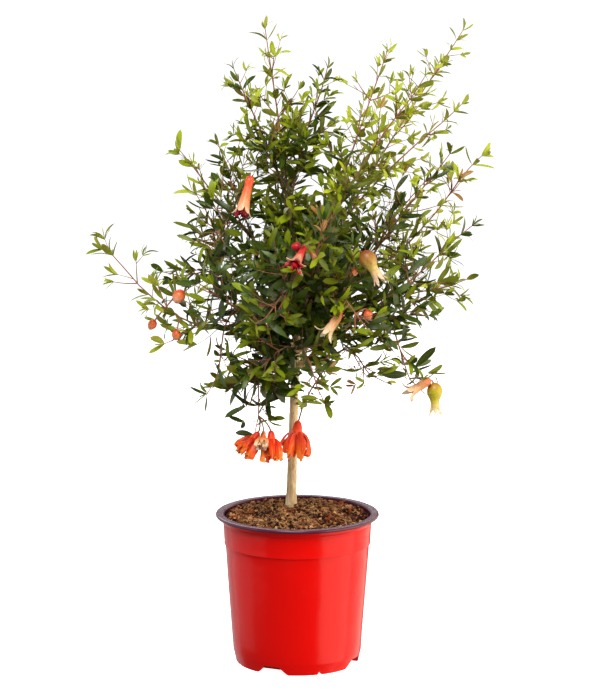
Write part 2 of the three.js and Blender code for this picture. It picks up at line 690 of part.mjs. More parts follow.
function massSolid(mass) {
  const { stem, heading } = stems.get(mass.name);
  const grown = { mass, solids: [shootSolid(stem, STEM_RADIUS, heading)], lines: [] };
  for (const bloom of BLOOMS.filter((one) => one.mass === mass.name))
    grown.solids.push(shootSolid(stalkOf(bloom, stem), STALK_RADIUS), solidOf(bloomGeometry(bloom)));
  grown.lines.push(...skeletons.get(mass.name).slice(1));
  const twigs = twigsOf(mass, stem);
  for (const { twig } of twigs) {
    grown.solids.push(shootSolid(twig, TWIG_RADIUS));
    grown.lines.push({ path: twig.joints, girth: 0, shoot: twig });
  }
  addLeaves(grown, stem, STEM_BARE, drawsFrom(mass.seed));
  grown.lines.push({ path: stem.joints, girth: 0, shoot: stem });
  for (const { twig, draw } of twigs) addLeaves(grown, twig, TWIG_BARE, draw);
  return mainBody(Manifold.union(grown.solids).asOriginal().simplify(FUSE_TOLERANCE));
}

// ---------------------------------------------------------------- the tree

const tree = new THREE.Group();
tree.name = "pomegranate_tree";

function add(name, solid, finish) {
  const material = new THREE.MeshStandardMaterial({ ...finish, metalness: 0 });
  const mesh = new THREE.Mesh(geometryOf(solid), material);
  mesh.name = name;
  tree.add(mesh);
}

const trunkGrown = trunkSolid(GAP);
add("pot", potSolid(), FINISHES.pot);
add("soil", soilSolid(), FINISHES.soil);
add("trunk", trunkSolid(), FINISHES.bark);
for (const bough of BOUGHS) add(bough.name, boughSolid(bough, trunkGrown), FINISHES.bark);
for (const mass of MASSES) add(mass.name, massSolid(mass), FINISHES.foliage);

export default tree;
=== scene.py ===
"""Looks of a pomegranate grown as a small standard tree in a plastic nursery pot.

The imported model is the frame. A shell for the pot, a bed of peat, one mesh of bark over the trunk
and its boughs, and a crown of twigs, leaves, blossom and fruit stand for its nodes. The crown grows
on from the boughs by the rule that the solid masses grow by, carried on to finer sprigs.
Lengths are in millimetres and angles in degrees until a mesh is made, which is in metres.
"""

import logging
import math
from collections.abc import Callable, Iterable, Sequence
from dataclasses import dataclass, field
from enum import Enum
from typing import Any

import bmesh
import bpy
import numpy as np
from bpy.types import Material, Mesh, Object
from mathutils import Matrix, Vector, noise


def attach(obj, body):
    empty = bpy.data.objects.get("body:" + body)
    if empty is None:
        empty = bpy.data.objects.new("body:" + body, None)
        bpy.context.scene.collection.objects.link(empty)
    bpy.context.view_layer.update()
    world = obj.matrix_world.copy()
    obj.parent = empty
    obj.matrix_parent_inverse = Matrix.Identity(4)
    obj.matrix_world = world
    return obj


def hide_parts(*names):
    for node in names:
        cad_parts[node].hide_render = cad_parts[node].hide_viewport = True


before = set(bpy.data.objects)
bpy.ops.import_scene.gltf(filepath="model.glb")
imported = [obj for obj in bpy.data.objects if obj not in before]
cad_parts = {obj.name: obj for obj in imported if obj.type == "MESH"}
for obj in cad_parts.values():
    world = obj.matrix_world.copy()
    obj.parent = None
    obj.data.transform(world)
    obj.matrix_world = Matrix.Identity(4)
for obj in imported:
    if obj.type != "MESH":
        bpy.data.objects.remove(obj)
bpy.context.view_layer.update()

log = logging.getLogger("pomegranate")

Array = np.ndarray
Curve = Callable[[float], Array]
Pair = tuple[float, float]
Triple = tuple[float, float, float]
Profile = tuple[Pair, ...]  # a section's points: heights along its axis, and radii

MM = 0.001  # metres in a millimetre
UP = np.array((0.0, 0.0, 1.0))
GAP = 0.3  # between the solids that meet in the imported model
SMOOTH = 180.0  # a crease that leaves no edge sharp
ALONG = "along"  # a value kept on the points of joined meshes, which their finishes read


# ---------------------------------------------------------------- finishes


def linear(colour: str) -> tuple[float, float, float, float]:
    """A colour written as rrggbb, as the linear values that shaders take.

    Args:
        colour: six hexadecimal digits.

    Returns:
        Red, green, blue and an alpha of 1.
    """
    parts = [int(colour[i : i + 2], 16) / 255 for i in (0, 2, 4)]
    red, green, blue = (c / 12.92 if c <= 0.04045 else ((c + 0.055) / 1.055) ** 2.4 for c in parts)
    return red, green, blue, 1.0


class Value:
    """A socket of one recipe, with arithmetic that adds Math nodes."""

    def __init__(self, recipe: "Recipe", socket: bpy.types.NodeSocket) -> None:
        """Wraps a socket of a recipe."""
        self.recipe = recipe
        self.socket = socket

    def _math(self, operation: str, one: Any, other: Any) -> "Value":
        """The value of a Math node with two inputs."""
        return self.recipe.node("ShaderNodeMath", {"operation": operation}, {0: one, 1: other})

    def __add__(self, other: Any) -> "Value":
        """This value plus another."""
        return self._math("ADD", self, other)

    __radd__ = __add__

    def __mul__(self, other: Any) -> "Value":
        """This value times another."""
        return self._math("MULTIPLY", self, other)

    __rmul__ = __mul__

    def __sub__(self, other: Any) -> "Value":
        """This value less another."""
        return self._math("SUBTRACT", self, other)

    def __rsub__(self, other: Any) -> "Value":
        """Another value less this one."""
        return self._math("SUBTRACT", other, self)

    def between(self, low: float, high: float) -> "Value":
        """A mask that rises from 0 where this value is `low` to 1 where it is `high`."""
        return self.recipe.node("ShaderNodeMapRange", {"clamp": True}, {"Value": self, 1: low, 2: high})


class Recipe:
    """The node tree of one material, around one Principled shader."""

    def __init__(self, name: str, **constants: Any) -> None:
        """Starts a material.

        Args:
            name: the material's name.
            constants: values set on the shader's own sockets, with _ for the spaces in their names.
        """
        self.material = bpy.data.materials.new(name)
        self.material.use_nodes = True
        self.tree = self.material.node_tree
        self.tree.nodes.clear()
        self.place = self.node("ShaderNodeTexCoord", output="Object")
        self.shader = self.tree.nodes.new("ShaderNodeBsdfPrincipled")
        for key, value in constants.items():
            self.shader.inputs[key.replace("_", " ")].default_value = value
        output = self.tree.nodes.new("ShaderNodeOutputMaterial")
        self.tree.links.new(self.shader.outputs["BSDF"], output.inputs["Surface"])

    def node(
        self,
        kind: str,
        settings: dict[str, Any] | None = None,
        inputs: dict[int | str, Any] | None = None,
        output: int | str = 0,
    ) -> Value:
        """Adds a node.

        Args:
            kind: the node's type.
            settings: its own settings; `stops` are a colour ramp's places and colours.
            inputs: the value of, or the link to, each of its sockets.
            output: the socket that is handed back.

        Returns:
            The chosen output.
        """
        made = self.tree.nodes.new(kind)
        for key, value in (settings or {}).items():
            if key == "stops":
                self._set_stops(made.color_ramp, value)
            else:
                setattr(made, key, value)
        for key, value in (inputs or {}).items():
            if isinstance(value, Value):
                self.tree.links.new(value.socket, made.inputs[key])
            else:
                made.inputs[key].default_value = value
        return Value(self, made.outputs[output])

    @staticmethod
    def _set_stops(ramp: bpy.types.ColorRamp, stops: Sequence[tuple[float, str]]) -> None:
        """Gives a colour ramp its stops.

        Args:
            ramp: the ramp, which starts with two.
            stops: the place and colour of each.
        """
        while len(ramp.elements) < len(stops):
            ramp.elements.new(0.5)
        for element, (place, colour) in zip(ramp.elements, stops, strict=True):
            element.position = place
            element.color = linear(colour)

    def noise(self, size: float, detail: float = 3.0, rough: float = 0.5, stretch: float = 1.0) -> Value:
        """Noise on object coordinates.

        Args:
            size: millimetres across one of its blotches.
            detail: octaves.
            rough: weight of the finer octaves.
            stretch: how much longer it is along +Z.

        Returns:
            Values round 0.5.
        """
        where = self.place
        if stretch != 1.0:
            where = self.node("ShaderNodeMapping", inputs={0: where, "Scale": (1.0, 1.0, 1.0 / stretch)})
        inputs = {"Vector": where, "Scale": 1.0 / (size * MM), "Detail": detail, "Roughness": rough}
        return self.node("ShaderNodeTexNoise", {}, inputs)

    def cells(self, size: float) -> Value:
        """The distance to the nearest of cells strewn `size` millimetres apart."""
        inputs = {"Vector": self.place, "Scale": 1.0 / (size * MM)}
        return self.node("ShaderNodeTexVoronoi", {}, inputs, "Distance")

    def along(self) -> Value:
        """The value that joined meshes keep on their points."""
        return self.node("ShaderNodeAttribute", {"attribute_name": ALONG}, output="Fac")

    def ramp(self, factor: Value, *stops: tuple[float, str]) -> Value:
        """Colours laid along a value."""
        return self.node("ShaderNodeValToRGB", {"stops": stops}, {0: factor})

    def mixed(self, factor: Value | float, one: Any, other: Any) -> Value:
        """A mix of two colours, from `one` at 0 to `other` at 1."""
        inputs = {0: factor, 6: one, 7: other}
        return self.node("ShaderNodeMix", {"data_type": "RGBA"}, inputs, 2)

    def bumped(self, height: Value, depth: float, strength: float = 1.0) -> None:
        """Feeds a height, `depth` millimetres deep, to the shader's normal."""
        inputs = {"Height": height, "Distance": depth * MM, "Strength": strength}
        self.feed("Normal", self.node("ShaderNodeBump", {}, inputs))

    def feed(self, socket: str, value: Value) -> None:
        """Links a value to one of the shader's sockets."""
        self.tree.links.new(value.socket, self.shader.inputs[socket])


@dataclass(frozen=True)
class ThinPlastic:
    """Deep-drawn pot plastic: glossy, with faint rubs and a slightly uneven sheen."""

    name: str
    colour: str
    rubbed: str
    roughness: float
    specular: float
    waves: float

    def made(self) -> Material:
        """Makes the finish.

        Returns:
            Its material.
        """
        recipe = Recipe(self.name, Specular_IOR_Level=self.specular)
        rubs = recipe.noise(34, detail=5, rough=0.65).between(0.56, 0.8)
        recipe.feed("Base Color", recipe.mixed(rubs * 0.5, linear(self.colour), linear(self.rubbed)))
        sheen = recipe.noise(9, detail=4)
        recipe.feed("Roughness", self.roughness + (sheen - 0.5) * 0.12 + rubs * 0.08)
        recipe.bumped(recipe.noise(34, detail=2) + recipe.noise(3, detail=2) * 0.006, 0.9, self.waves)
        return recipe.material


@dataclass(frozen=True)
class Bark:
    """Thin young bark with long fissures, pale scales and dark specks, and painted shade that makes it
    darker and browner in the crown.
    """

    name: str
    pale: str
    middle: str
    dark: str
    # painted shade: the darker, browner colour that the bark is given inside the crown, where the leaves
    # shade it
    crown_shade: str
    speck: str = "3a2a1c"
    crown: Pair = (370, 450)  # heights between which the painted shade of the crown comes in

    def made(self) -> Material:
        """Makes the finish.

        Returns:
            Its material.
        """
        recipe = Recipe(self.name, Specular_IOR_Level=0.3)
        streaks = recipe.noise(2.2, detail=5, rough=0.6, stretch=5)
        patches = recipe.noise(13, detail=3, stretch=2)
        tone = streaks * 0.6 + patches * 0.4
        skin = recipe.ramp(tone, (0.34, self.dark), (0.46, self.middle), (0.62, self.pale))
        specks = 1 - recipe.cells(5.5).between(0.1, 0.22)
        specks = specks * recipe.noise(11, detail=2).between(0.5, 0.58)
        # painted shade: the bark turns darker and browner with height in the crown, where the leaves shade
        # it
        up = recipe.node("ShaderNodeSeparateXYZ", {}, {0: recipe.place}, 2)
        crown_shading = up.between(self.crown[0] * MM, self.crown[1] * MM) * 0.8
        skin = recipe.mixed(crown_shading, skin, linear(self.crown_shade))
        recipe.feed("Base Color", recipe.mixed(specks * 0.85, skin, linear(self.speck)))
        recipe.feed("Roughness", 0.62 + (streaks - 0.5) * 0.5)
        recipe.bumped(streaks + specks * 0.4, 0.45, 0.8)
        return recipe.material


@dataclass(frozen=True)
class Skin:
    """A twig's, a fibre's or a stamen's skin, mottled between two colours."""

    name: str
    colour: str
    mottle: str
    blotch: float
    roughness: float
    depth: float = 0.1

    def made(self) -> Material:
        """Makes the finish.

        Returns:
            Its material.
        """
        recipe = Recipe(self.name, Specular_IOR_Level=0.4)
        blotches = recipe.noise(self.blotch, detail=4, rough=0.6)
        mask = blotches.between(0.4, 0.64)
        recipe.feed("Base Color", recipe.mixed(mask, linear(self.colour), linear(self.mottle)))
        recipe.feed("Roughness", self.roughness + (blotches - 0.5) * 0.3)
        recipe.bumped(recipe.noise(self.blotch * 0.3, detail=3), self.depth, 0.6)
        return recipe.material


@dataclass(frozen=True)
class Graded:
    """A petal's or a fruit's skin, whose colour runs from its stalk to its tips, with soft blotches."""

    name: str
    run: tuple[str, ...]  # its colours at equal steps from stalk to tip
    blotched: str
    coat: float = 0.0
    roughness: float = 0.42

    def made(self) -> Material:
        """Makes the finish.

        Returns:
            Its material.
        """
        recipe = Recipe(self.name, Coat_Weight=self.coat, Coat_Roughness=0.25, Specular_IOR_Level=0.35)
        drift = recipe.noise(5, detail=3)
        last = len(self.run) - 1
        stops = [(i / last, colour) for i, colour in enumerate(self.run)]
        skin = recipe.ramp(recipe.along() + (drift - 0.5) * 0.24, *stops)
        veins = recipe.noise(2.6, detail=4, rough=0.6)
        recipe.feed("Base Color", recipe.mixed(veins.between(0.5, 0.72) * 0.6, skin, linear(self.blotched)))
        recipe.feed("Roughness", self.roughness + (veins - 0.5) * 0.3)
        recipe.bumped(veins, 0.25, 0.6)
        return recipe.material


@dataclass(frozen=True)
class Peat:
    """Crumbled peat: dull, rough and mottled."""

    name: str
    dark: str
    middle: str
    light: str
    grain: float = 2.4

    def made(self) -> Material:
        """Makes the finish.

        Returns:
            Its material.
        """
        recipe = Recipe(self.name, Specular_IOR_Level=0.15)
        clods = recipe.noise(self.grain, detail=6, rough=0.7)
        colour = recipe.ramp(clods, (0.36, self.dark), (0.5, self.middle), (0.68, self.light))
        recipe.feed("Base Color", colour)
        recipe.feed("Roughness", 0.96 - clods * 0.12)
        recipe.bumped(clods, 1.1, 1.0)
        return recipe.material


@dataclass(frozen=True)
class Blade:
    """One side of a leaf: a waxy skin with a paler midrib and fine veining."""

    name: str
    colour: str
    sunned: str
    rib: str
    roughness: float
    sheen: float

    def made(self) -> Material:
        """Makes the finish.

        Returns:
            Its material.
        """
        recipe = Recipe(self.name, Specular_IOR_Level=self.sheen, Specular_Tint=linear("f6f8dc"))
        drift = recipe.noise(16, detail=2).between(0.35, 0.7)
        skin = recipe.mixed(drift, linear(self.colour), linear(self.sunned))
        rib = 1 - recipe.along().between(0.04, 0.16)
        recipe.feed("Base Color", recipe.mixed(rib * 0.55, skin, linear(self.rib)))
        fine = recipe.noise(1.4, detail=2)
        recipe.feed("Roughness", self.roughness + (fine - 0.5) * 0.16)
        recipe.bumped(fine, 0.12, 0.5)
        return recipe.material


class Tint(Enum):
    """The greens that sprays of leaves are dealt: upper side, sunned upper side and underside. The darker
    greens are dealt deep and low in the crown, partly as painted shade.
    """

    DEEP = ("202e02", "2b3d04", "3e5018")
    DARK = ("2e4104", "3c5407", "50641c")
    MIDDLE = ("5a6406", "6e7a0b", "7c8226")
    FRESH = ("78880c", "8c9c14", "929832")
    LIME = ("9caa18", "b0bc2a", "acb242")
    BRONZE = ("986c38", "ac8046", "a08254")

    @property
    def sheen(self) -> float:
        """How strongly its upper side reflects: old dark leaves are the waxiest."""
        return 0.5 if self in (Tint.DEEP, Tint.DARK) else 0.3


BRONZE = list(Tint).index(Tint.BRONZE)  # the greens stand before it, from the darkest

POT_RED = ThinPlastic("pot_red_plastic", "e60600", "e2120a", 0.2, 0.22, 0.8)
POT_PLUM = ThinPlastic("pot_plum_plastic", "541a34", "703a58", 0.24, 0.5, 0.1)
# the last colour is the painted shade of the bark inside the crown
TRUNK_BARK = Bark("trunk_bark", "fdeec4", "e0c492", "b4986a", "6e4a30")
OLD_TWIG = Skin("old_twig_bark", "8c6a48", "70583a", blotch=3.0, roughness=0.66)
YOUNG_TWIG = Skin("young_twig_skin", "a26a4e", "8a563a", blotch=6.0, roughness=0.5)
CORAL = Graded("calyx_coral", ("d8361a", "ee5226", "f4763e", "f6a072", "fbe0c2"), "f6a038", coat=0.3)
CRIMSON = Graded("petal_crimson", ("8c0c20", "a80e20", "bc1224", "c81828", "d22028"), "8a0a20")
WINE = Graded("petal_wine", ("64081a", "7c0c20", "8c1024", "9c1228", "ac182e"), "6c081c")
VERMILION = Graded("petal_vermilion", ("d82810", "f03c12", "fa5418", "fe6a22", "ff8030"), "f02c0c")
ANTHER = Skin("anther_tan", "c98a3c", "a8642a", blotch=2.0, roughness=0.6)
STRAW = Graded("spent_straw", ("d05a34", "e0925c", "ecb482", "f2cea4", "f8e6cc"), "d89860")
AMBER = Graded("fruit_amber", ("8a3c1c", "a4742c", "ccb45c", "f4c8a0", "fee2cc"), "946028", coat=0.2)
OLIVE = Graded("fruit_olive", ("b87c28", "c2b420", "d4c638", "f4d49a", "fee6d0"), "a49a20", coat=0.25)
BUD = Graded("bud_orange", ("b43818", "dc5226", "ec7438", "f4966a", "f8bc98"), "cc5826", coat=0.3)
BLUSH = Graded("calyx_blush", ("c41420", "d02028", "dc4438", "ee9a78", "f8d0b0"), "c01c24", coat=0.2)
CREAM = Graded("petal_cream", ("f05c2a", "f48448", "f8aa70", "face9c", "fce2c2"), "f49a5a")
FLAME = Graded("petal_flame", ("ec3c12", "f65e1c", "fc7c28", "fe9236", "ffa446"), "f4481a")
PEAT_BED = Peat("peat_bed", "1a0b06", "4a2612", "8c5834")


# ---------------------------------------------------------------- meshes


def dressed(
    name: str,
    mesh: Mesh,
    finishes: Sequence[Material],
    stands_for: Iterable[str] = (),
) -> None:
    """Puts a finished mesh in the scene as a piece that rides on the pot's body.

    Args:
        name: the piece's name.
        mesh: its mesh, in metres, where it belongs.
        finishes: its materials, by the index that its faces hold.
        stands_for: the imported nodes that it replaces.
    """
    mesh.name = name
    for finish in finishes:
        mesh.materials.append(finish)
    piece = bpy.data.objects.new(name, mesh)
    bpy.context.scene.collection.objects.link(piece)
    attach(piece, "root")
    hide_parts(*stands_for)
    log.info("%s: %d faces", name, len(mesh.polygons))


def mesh_of(bm: bmesh.types.BMesh, name: str, crease: float = 40.0) -> Mesh:
    """Turns a finished bmesh in millimetres into a smooth-shaded mesh in metres, and frees it.

    Args:
        bm: the bmesh.
        name: the mesh's name.
        crease: edges that turn by more than this are left sharp.

    Returns:
        The mesh.
    """
    bmesh.ops.scale(bm, vec=(MM, MM, MM), verts=bm.verts[:])
    mesh = bpy.data.meshes.new(name)
    bm.to_mesh(mesh)
    bm.free()
    mesh.shade_smooth()
    mesh.set_sharp_from_angle(angle=math.radians(crease))
    return mesh


def modified(mesh: Mesh, kind: str, **settings: Any) -> Mesh:
    """A mesh with one modifier applied.

    Args:
        mesh: the mesh, which is used up.
        kind: the modifier's type.
        settings: the modifier's settings.

    Returns:
        The new mesh.
    """
    holder = bpy.data.objects.new("holder", mesh)
    bpy.context.scene.collection.objects.link(holder)
    modifier = holder.modifiers.new(kind.title(), kind)
    for key, value in settings.items():
        setattr(modifier, key, value)
    graph = bpy.context.evaluated_depsgraph_get()
    made = bpy.data.meshes.new_from_object(holder.evaluated_get(graph))
    bpy.data.objects.remove(holder)
    bpy.data.meshes.remove(mesh)
    return made


@dataclass(frozen=True)
class Template:
    """A small closed shape as arrays, ready to be copied many times."""

    points: Array
    corners: Array
    counts: Array
    finishes: Array
    values: Array  # one for each point, kept as the joined mesh's ALONG

    @classmethod
    def of(cls, bm: bmesh.types.BMesh, values: Sequence[float] | None = None) -> "Template":
        """Reads a bmesh out as arrays, and frees it.

        Args:
            bm: the shape.
            values: one for each of its points, or None for zeros.

        Returns:
            The template.
        """
        mesh = bpy.data.meshes.new("template")
        bm.to_mesh(mesh)
        bm.free()
        points = np.empty(len(mesh.vertices) * 3)
        corners = np.empty(len(mesh.loops), np.int32)
        counts = np.empty(len(mesh.polygons), np.int32)
        finishes = np.empty(len(mesh.polygons), np.int32)
        mesh.vertices.foreach_get("co", points)
        mesh.loops.foreach_get("vertex_index", corners)
        mesh.polygons.foreach_get("loop_total", counts)
        mesh.polygons.foreach_get("material_index", finishes)
        bpy.data.meshes.remove(mesh)
        points = points.reshape(-1, 3)
        kept = np.zeros(len(points)) if values is None else np.array(values, float)
        return cls(points, corners, counts, finishes, kept)


class Copies:
    """Copies of templates, gathered to be joined into one mesh."""

    def __init__(self) -> None:
        """Starts with none."""
        self._batches: list[tuple[Template, Array]] = []

    def add(self, template: Template, points: Array) -> None:
        """Adds one or more copies of a template, whose points go to these places in millimetres."""
        self._batches.append((template, points.reshape(-1, len(template.points), 3)))

    def mesh(self, name: str, crease: float) -> Mesh:
        """The copies as one mesh in metres.

        Args:
            name: the mesh's name.
            crease: edges that turn by more than this are left sharp.

        Returns:
            The joined mesh.
        """
        corners, counts, finishes = [], [], []
        start = 0
        for template, points in self._batches:
            size = len(template.points)
            starts = start + size * np.arange(len(points), dtype=np.int32)
            corners.append((template.corners[None, :] + starts[:, None]).ravel())
            counts.append(np.tile(template.counts, len(points)))
            finishes.append(np.tile(template.finishes, len(points)))
            start += size * len(points)
        places = np.concatenate([points.reshape(-1, 3) for _, points in self._batches]) * MM
        all_counts = np.concatenate(counts)
        mesh = bpy.data.meshes.new(name)
        mesh.vertices.add(len(places))
        mesh.vertices.foreach_set("co", places.ravel())
        mesh.loops.add(int(all_counts.sum()))
        mesh.loops.foreach_set("vertex_index", np.concatenate(corners))
        mesh.polygons.add(len(all_counts))
        mesh.polygons.foreach_set("loop_start", np.cumsum(all_counts) - all_counts)
        mesh.polygons.foreach_set("material_index", np.concatenate(finishes))
        values = [np.tile(template.values, len(points)) for template, points in self._batches]
        along = mesh.attributes.new(ALONG, "FLOAT", "POINT")
        along.data.foreach_set("value", np.concatenate(values))
        mesh.update(calc_edges=True)
        mesh.shade_smooth()
        mesh.set_sharp_from_angle(angle=math.radians(crease))
        return mesh


def spun(profile: Sequence[Pair], steps: int) -> bmesh.types.BMesh:
    """Turns a profile about +Z.

    Args:
        profile: radius and height of each point.
        steps: facets round the axis.

    Returns:
        The turned shape, with its normals out.
    """
    bm = bmesh.new()
    verts = [bm.verts.new((radius, 0.0, height)) for radius, height in profile]
    edges = [bm.edges.new(pair) for pair in zip(verts, verts[1:], strict=False)]
    bmesh.ops.spin(
        bm,
        geom=verts + edges,
        cent=(0, 0, 0),
        axis=(0, 0, 1),
        angle=math.tau,
        steps=steps,
        use_merge=True,
        use_duplicate=False,
    )
    bmesh.ops.remove_doubles(bm, verts=bm.verts[:], dist=1e-4)
    bmesh.ops.recalc_face_normals(bm, faces=bm.faces[:])
    return bm


def tube_template(sides: int, rings: int) -> Template:
    """A closed tube of radius 1 from z = 0 to z = rings, with a ring at each whole height.

    Args:
        sides: facets round it.
        rings: lengths along it.

    Returns:
        The template.
    """
    bm = bmesh.new()
    bmesh.ops.create_cone(bm, cap_ends=True, segments=sides, radius1=1, radius2=1, depth=rings)
    bmesh.ops.translate(bm, vec=(0, 0, rings / 2), verts=bm.verts[:])
    upright = [edge for edge in bm.edges if abs(edge.verts[0].co.z - edge.verts[1].co.z) > 0.5]
    if rings > 1:
        bmesh.ops.subdivide_edges(bm, edges=upright, cuts=rings - 1, use_grid_fill=True)
    return Template.of(bm)


# ---------------------------------------------------------------- lines that the plant grows along


def unit(vector: Array) -> Array:
    """A vector at length 1."""
    return vector / np.linalg.norm(vector)


def mix(one: float, other: float, share: float) -> float:
    """A value part of the way from one to another."""
    return one + (other - one) * share


def across(heading: Array, before: Array | None = None) -> tuple[Array, Array]:
    """Two unit vectors across a heading, that turn as little as possible from the one before.

    Args:
        heading: a unit vector.
        before: the first of the two vectors, one step back.

    Returns:
        The two vectors.
    """
    spare = UP if abs(heading[2]) < 0.9 else np.array((1.0, 0.0, 0.0))
    seed = spare if before is None else before
    first = unit(seed - heading * (seed @ heading))
    return first, np.cross(heading, first)


def branch_off(heading: Array, angle: float, roll: float) -> Array:
    """Turns away from a heading.

    Args:
        heading: a unit vector.
        angle: how far, in degrees.
        roll: to which side, in radians round the heading.

    Returns:
        The new unit vector.
    """
    first, second = across(heading)
    turn = math.radians(angle)
    side = first * math.cos(roll) + second * math.sin(roll)
    return unit(heading * math.cos(turn) + side * math.sin(turn))


def polar(bearing: float, reach: float, height: float) -> Array:
    """The point at a bearing from +X towards +Y, a reach from the pot's axis and a height."""
    turn = math.radians(bearing)
    return np.array((reach * math.cos(turn), reach * math.sin(turn), height))


def bezier(*controls: Array) -> Curve:
    """The curve from the first of its control points to the last.

    Args:
        controls: the control points.

    Returns:
        The curve.
    """

    def at(share: float) -> Array:
        """The point at a share of the curve.

        Args:
            share: from 0 at its start to 1 at its end.

        Returns:
            The point.
        """
        points = np.array(controls, float)
        while len(points) > 1:
            points = points[:-1] + (points[1:] - points[:-1]) * share
        return points[0]

    return at


def bowed(start: Array, end: Array, bow: float) -> Curve:
    """A curve from start to end whose middle is lifted by `bow`."""
    return bezier(start, (start + end) / 2 + UP * 2 * bow, end)


def sampled(curve: Curve, lengths: int) -> Array:
    """The joints that cut a curve into equal shares."""
    return np.array([curve(i / lengths) for i in range(lengths + 1)])


def way_of(curve: Curve, share: float) -> Array:
    """The unit vector along a curve at a share of it."""
    step = 1e-4
    return unit(curve(min(1.0, share + step)) - curve(max(0.0, share - step)))


def length_of(joints: Array) -> float:
    """The length of a run of joints."""
    return float(np.linalg.norm(joints[1:] - joints[:-1], axis=1).sum())


def straightened(joints: Array) -> Curve:
    """A run of joints as a curve, with an equal share to each of its straight lengths.

    Args:
        joints: the run.

    Returns:
        The curve.
    """

    def at(share: float) -> Array:
        """The point at a share of the run.

        Args:
            share: from 0 at its start to 1 at its end.

        Returns:
            The point.
        """
        step = min(int(share * (len(joints) - 1)), len(joints) - 2)
        rest = share * (len(joints) - 1) - step
        return joints[step] + (joints[step + 1] - joints[step]) * rest

    return at


def carried(template: Template, joints: Array, radii: Array) -> Array:
    """A tube template's rings carried onto a run of joints.

    Args:
        template: the tube, with as many rings as there are joints.
        joints: the middle of each ring.
        radii: the radius of each ring.

    Returns:
        The template's points in their new places.
    """
    ways = np.gradient(joints, axis=0)
    firsts, seconds = [], []
    before = None
    for way in ways:
        before, second = across(unit(way), before)
        firsts.append(before)
        seconds.append(second)
    ring = np.rint(template.points[:, 2]).astype(int)
    x, y = template.points[:, :1], template.points[:, 1:2]
    round_it = x * np.array(firsts)[ring] + y * np.array(seconds)[ring]
    return joints[ring] + radii[ring][:, None] * round_it


class Draws:
    """A row of draws from 0 to 1 that depends on nothing but its seed."""

    MASK = 0xFFFFFFFF

    def __init__(self, seed: int) -> None:
        """Starts a row."""
        self._state = seed & self.MASK

    def __call__(self) -> float:
        """The next draw.

        Returns:
            A value from 0 to 1.
        """
        self._state = (self._state + 0x6D2B79F5) & self.MASK
        t = self._state
        t = ((t ^ (t >> 15)) * (1 | t)) & self.MASK
        t = ((t + (((t ^ (t >> 7)) * (61 | t)) & self.MASK)) & self.MASK) ^ t
        return ((t ^ (t >> 14)) & self.MASK) / 2**32

    def within(self, low: float, high: float) -> float:
        """A draw between two values."""
        return mix(low, high, self())


# ---------------------------------------------------------------- pot and soil


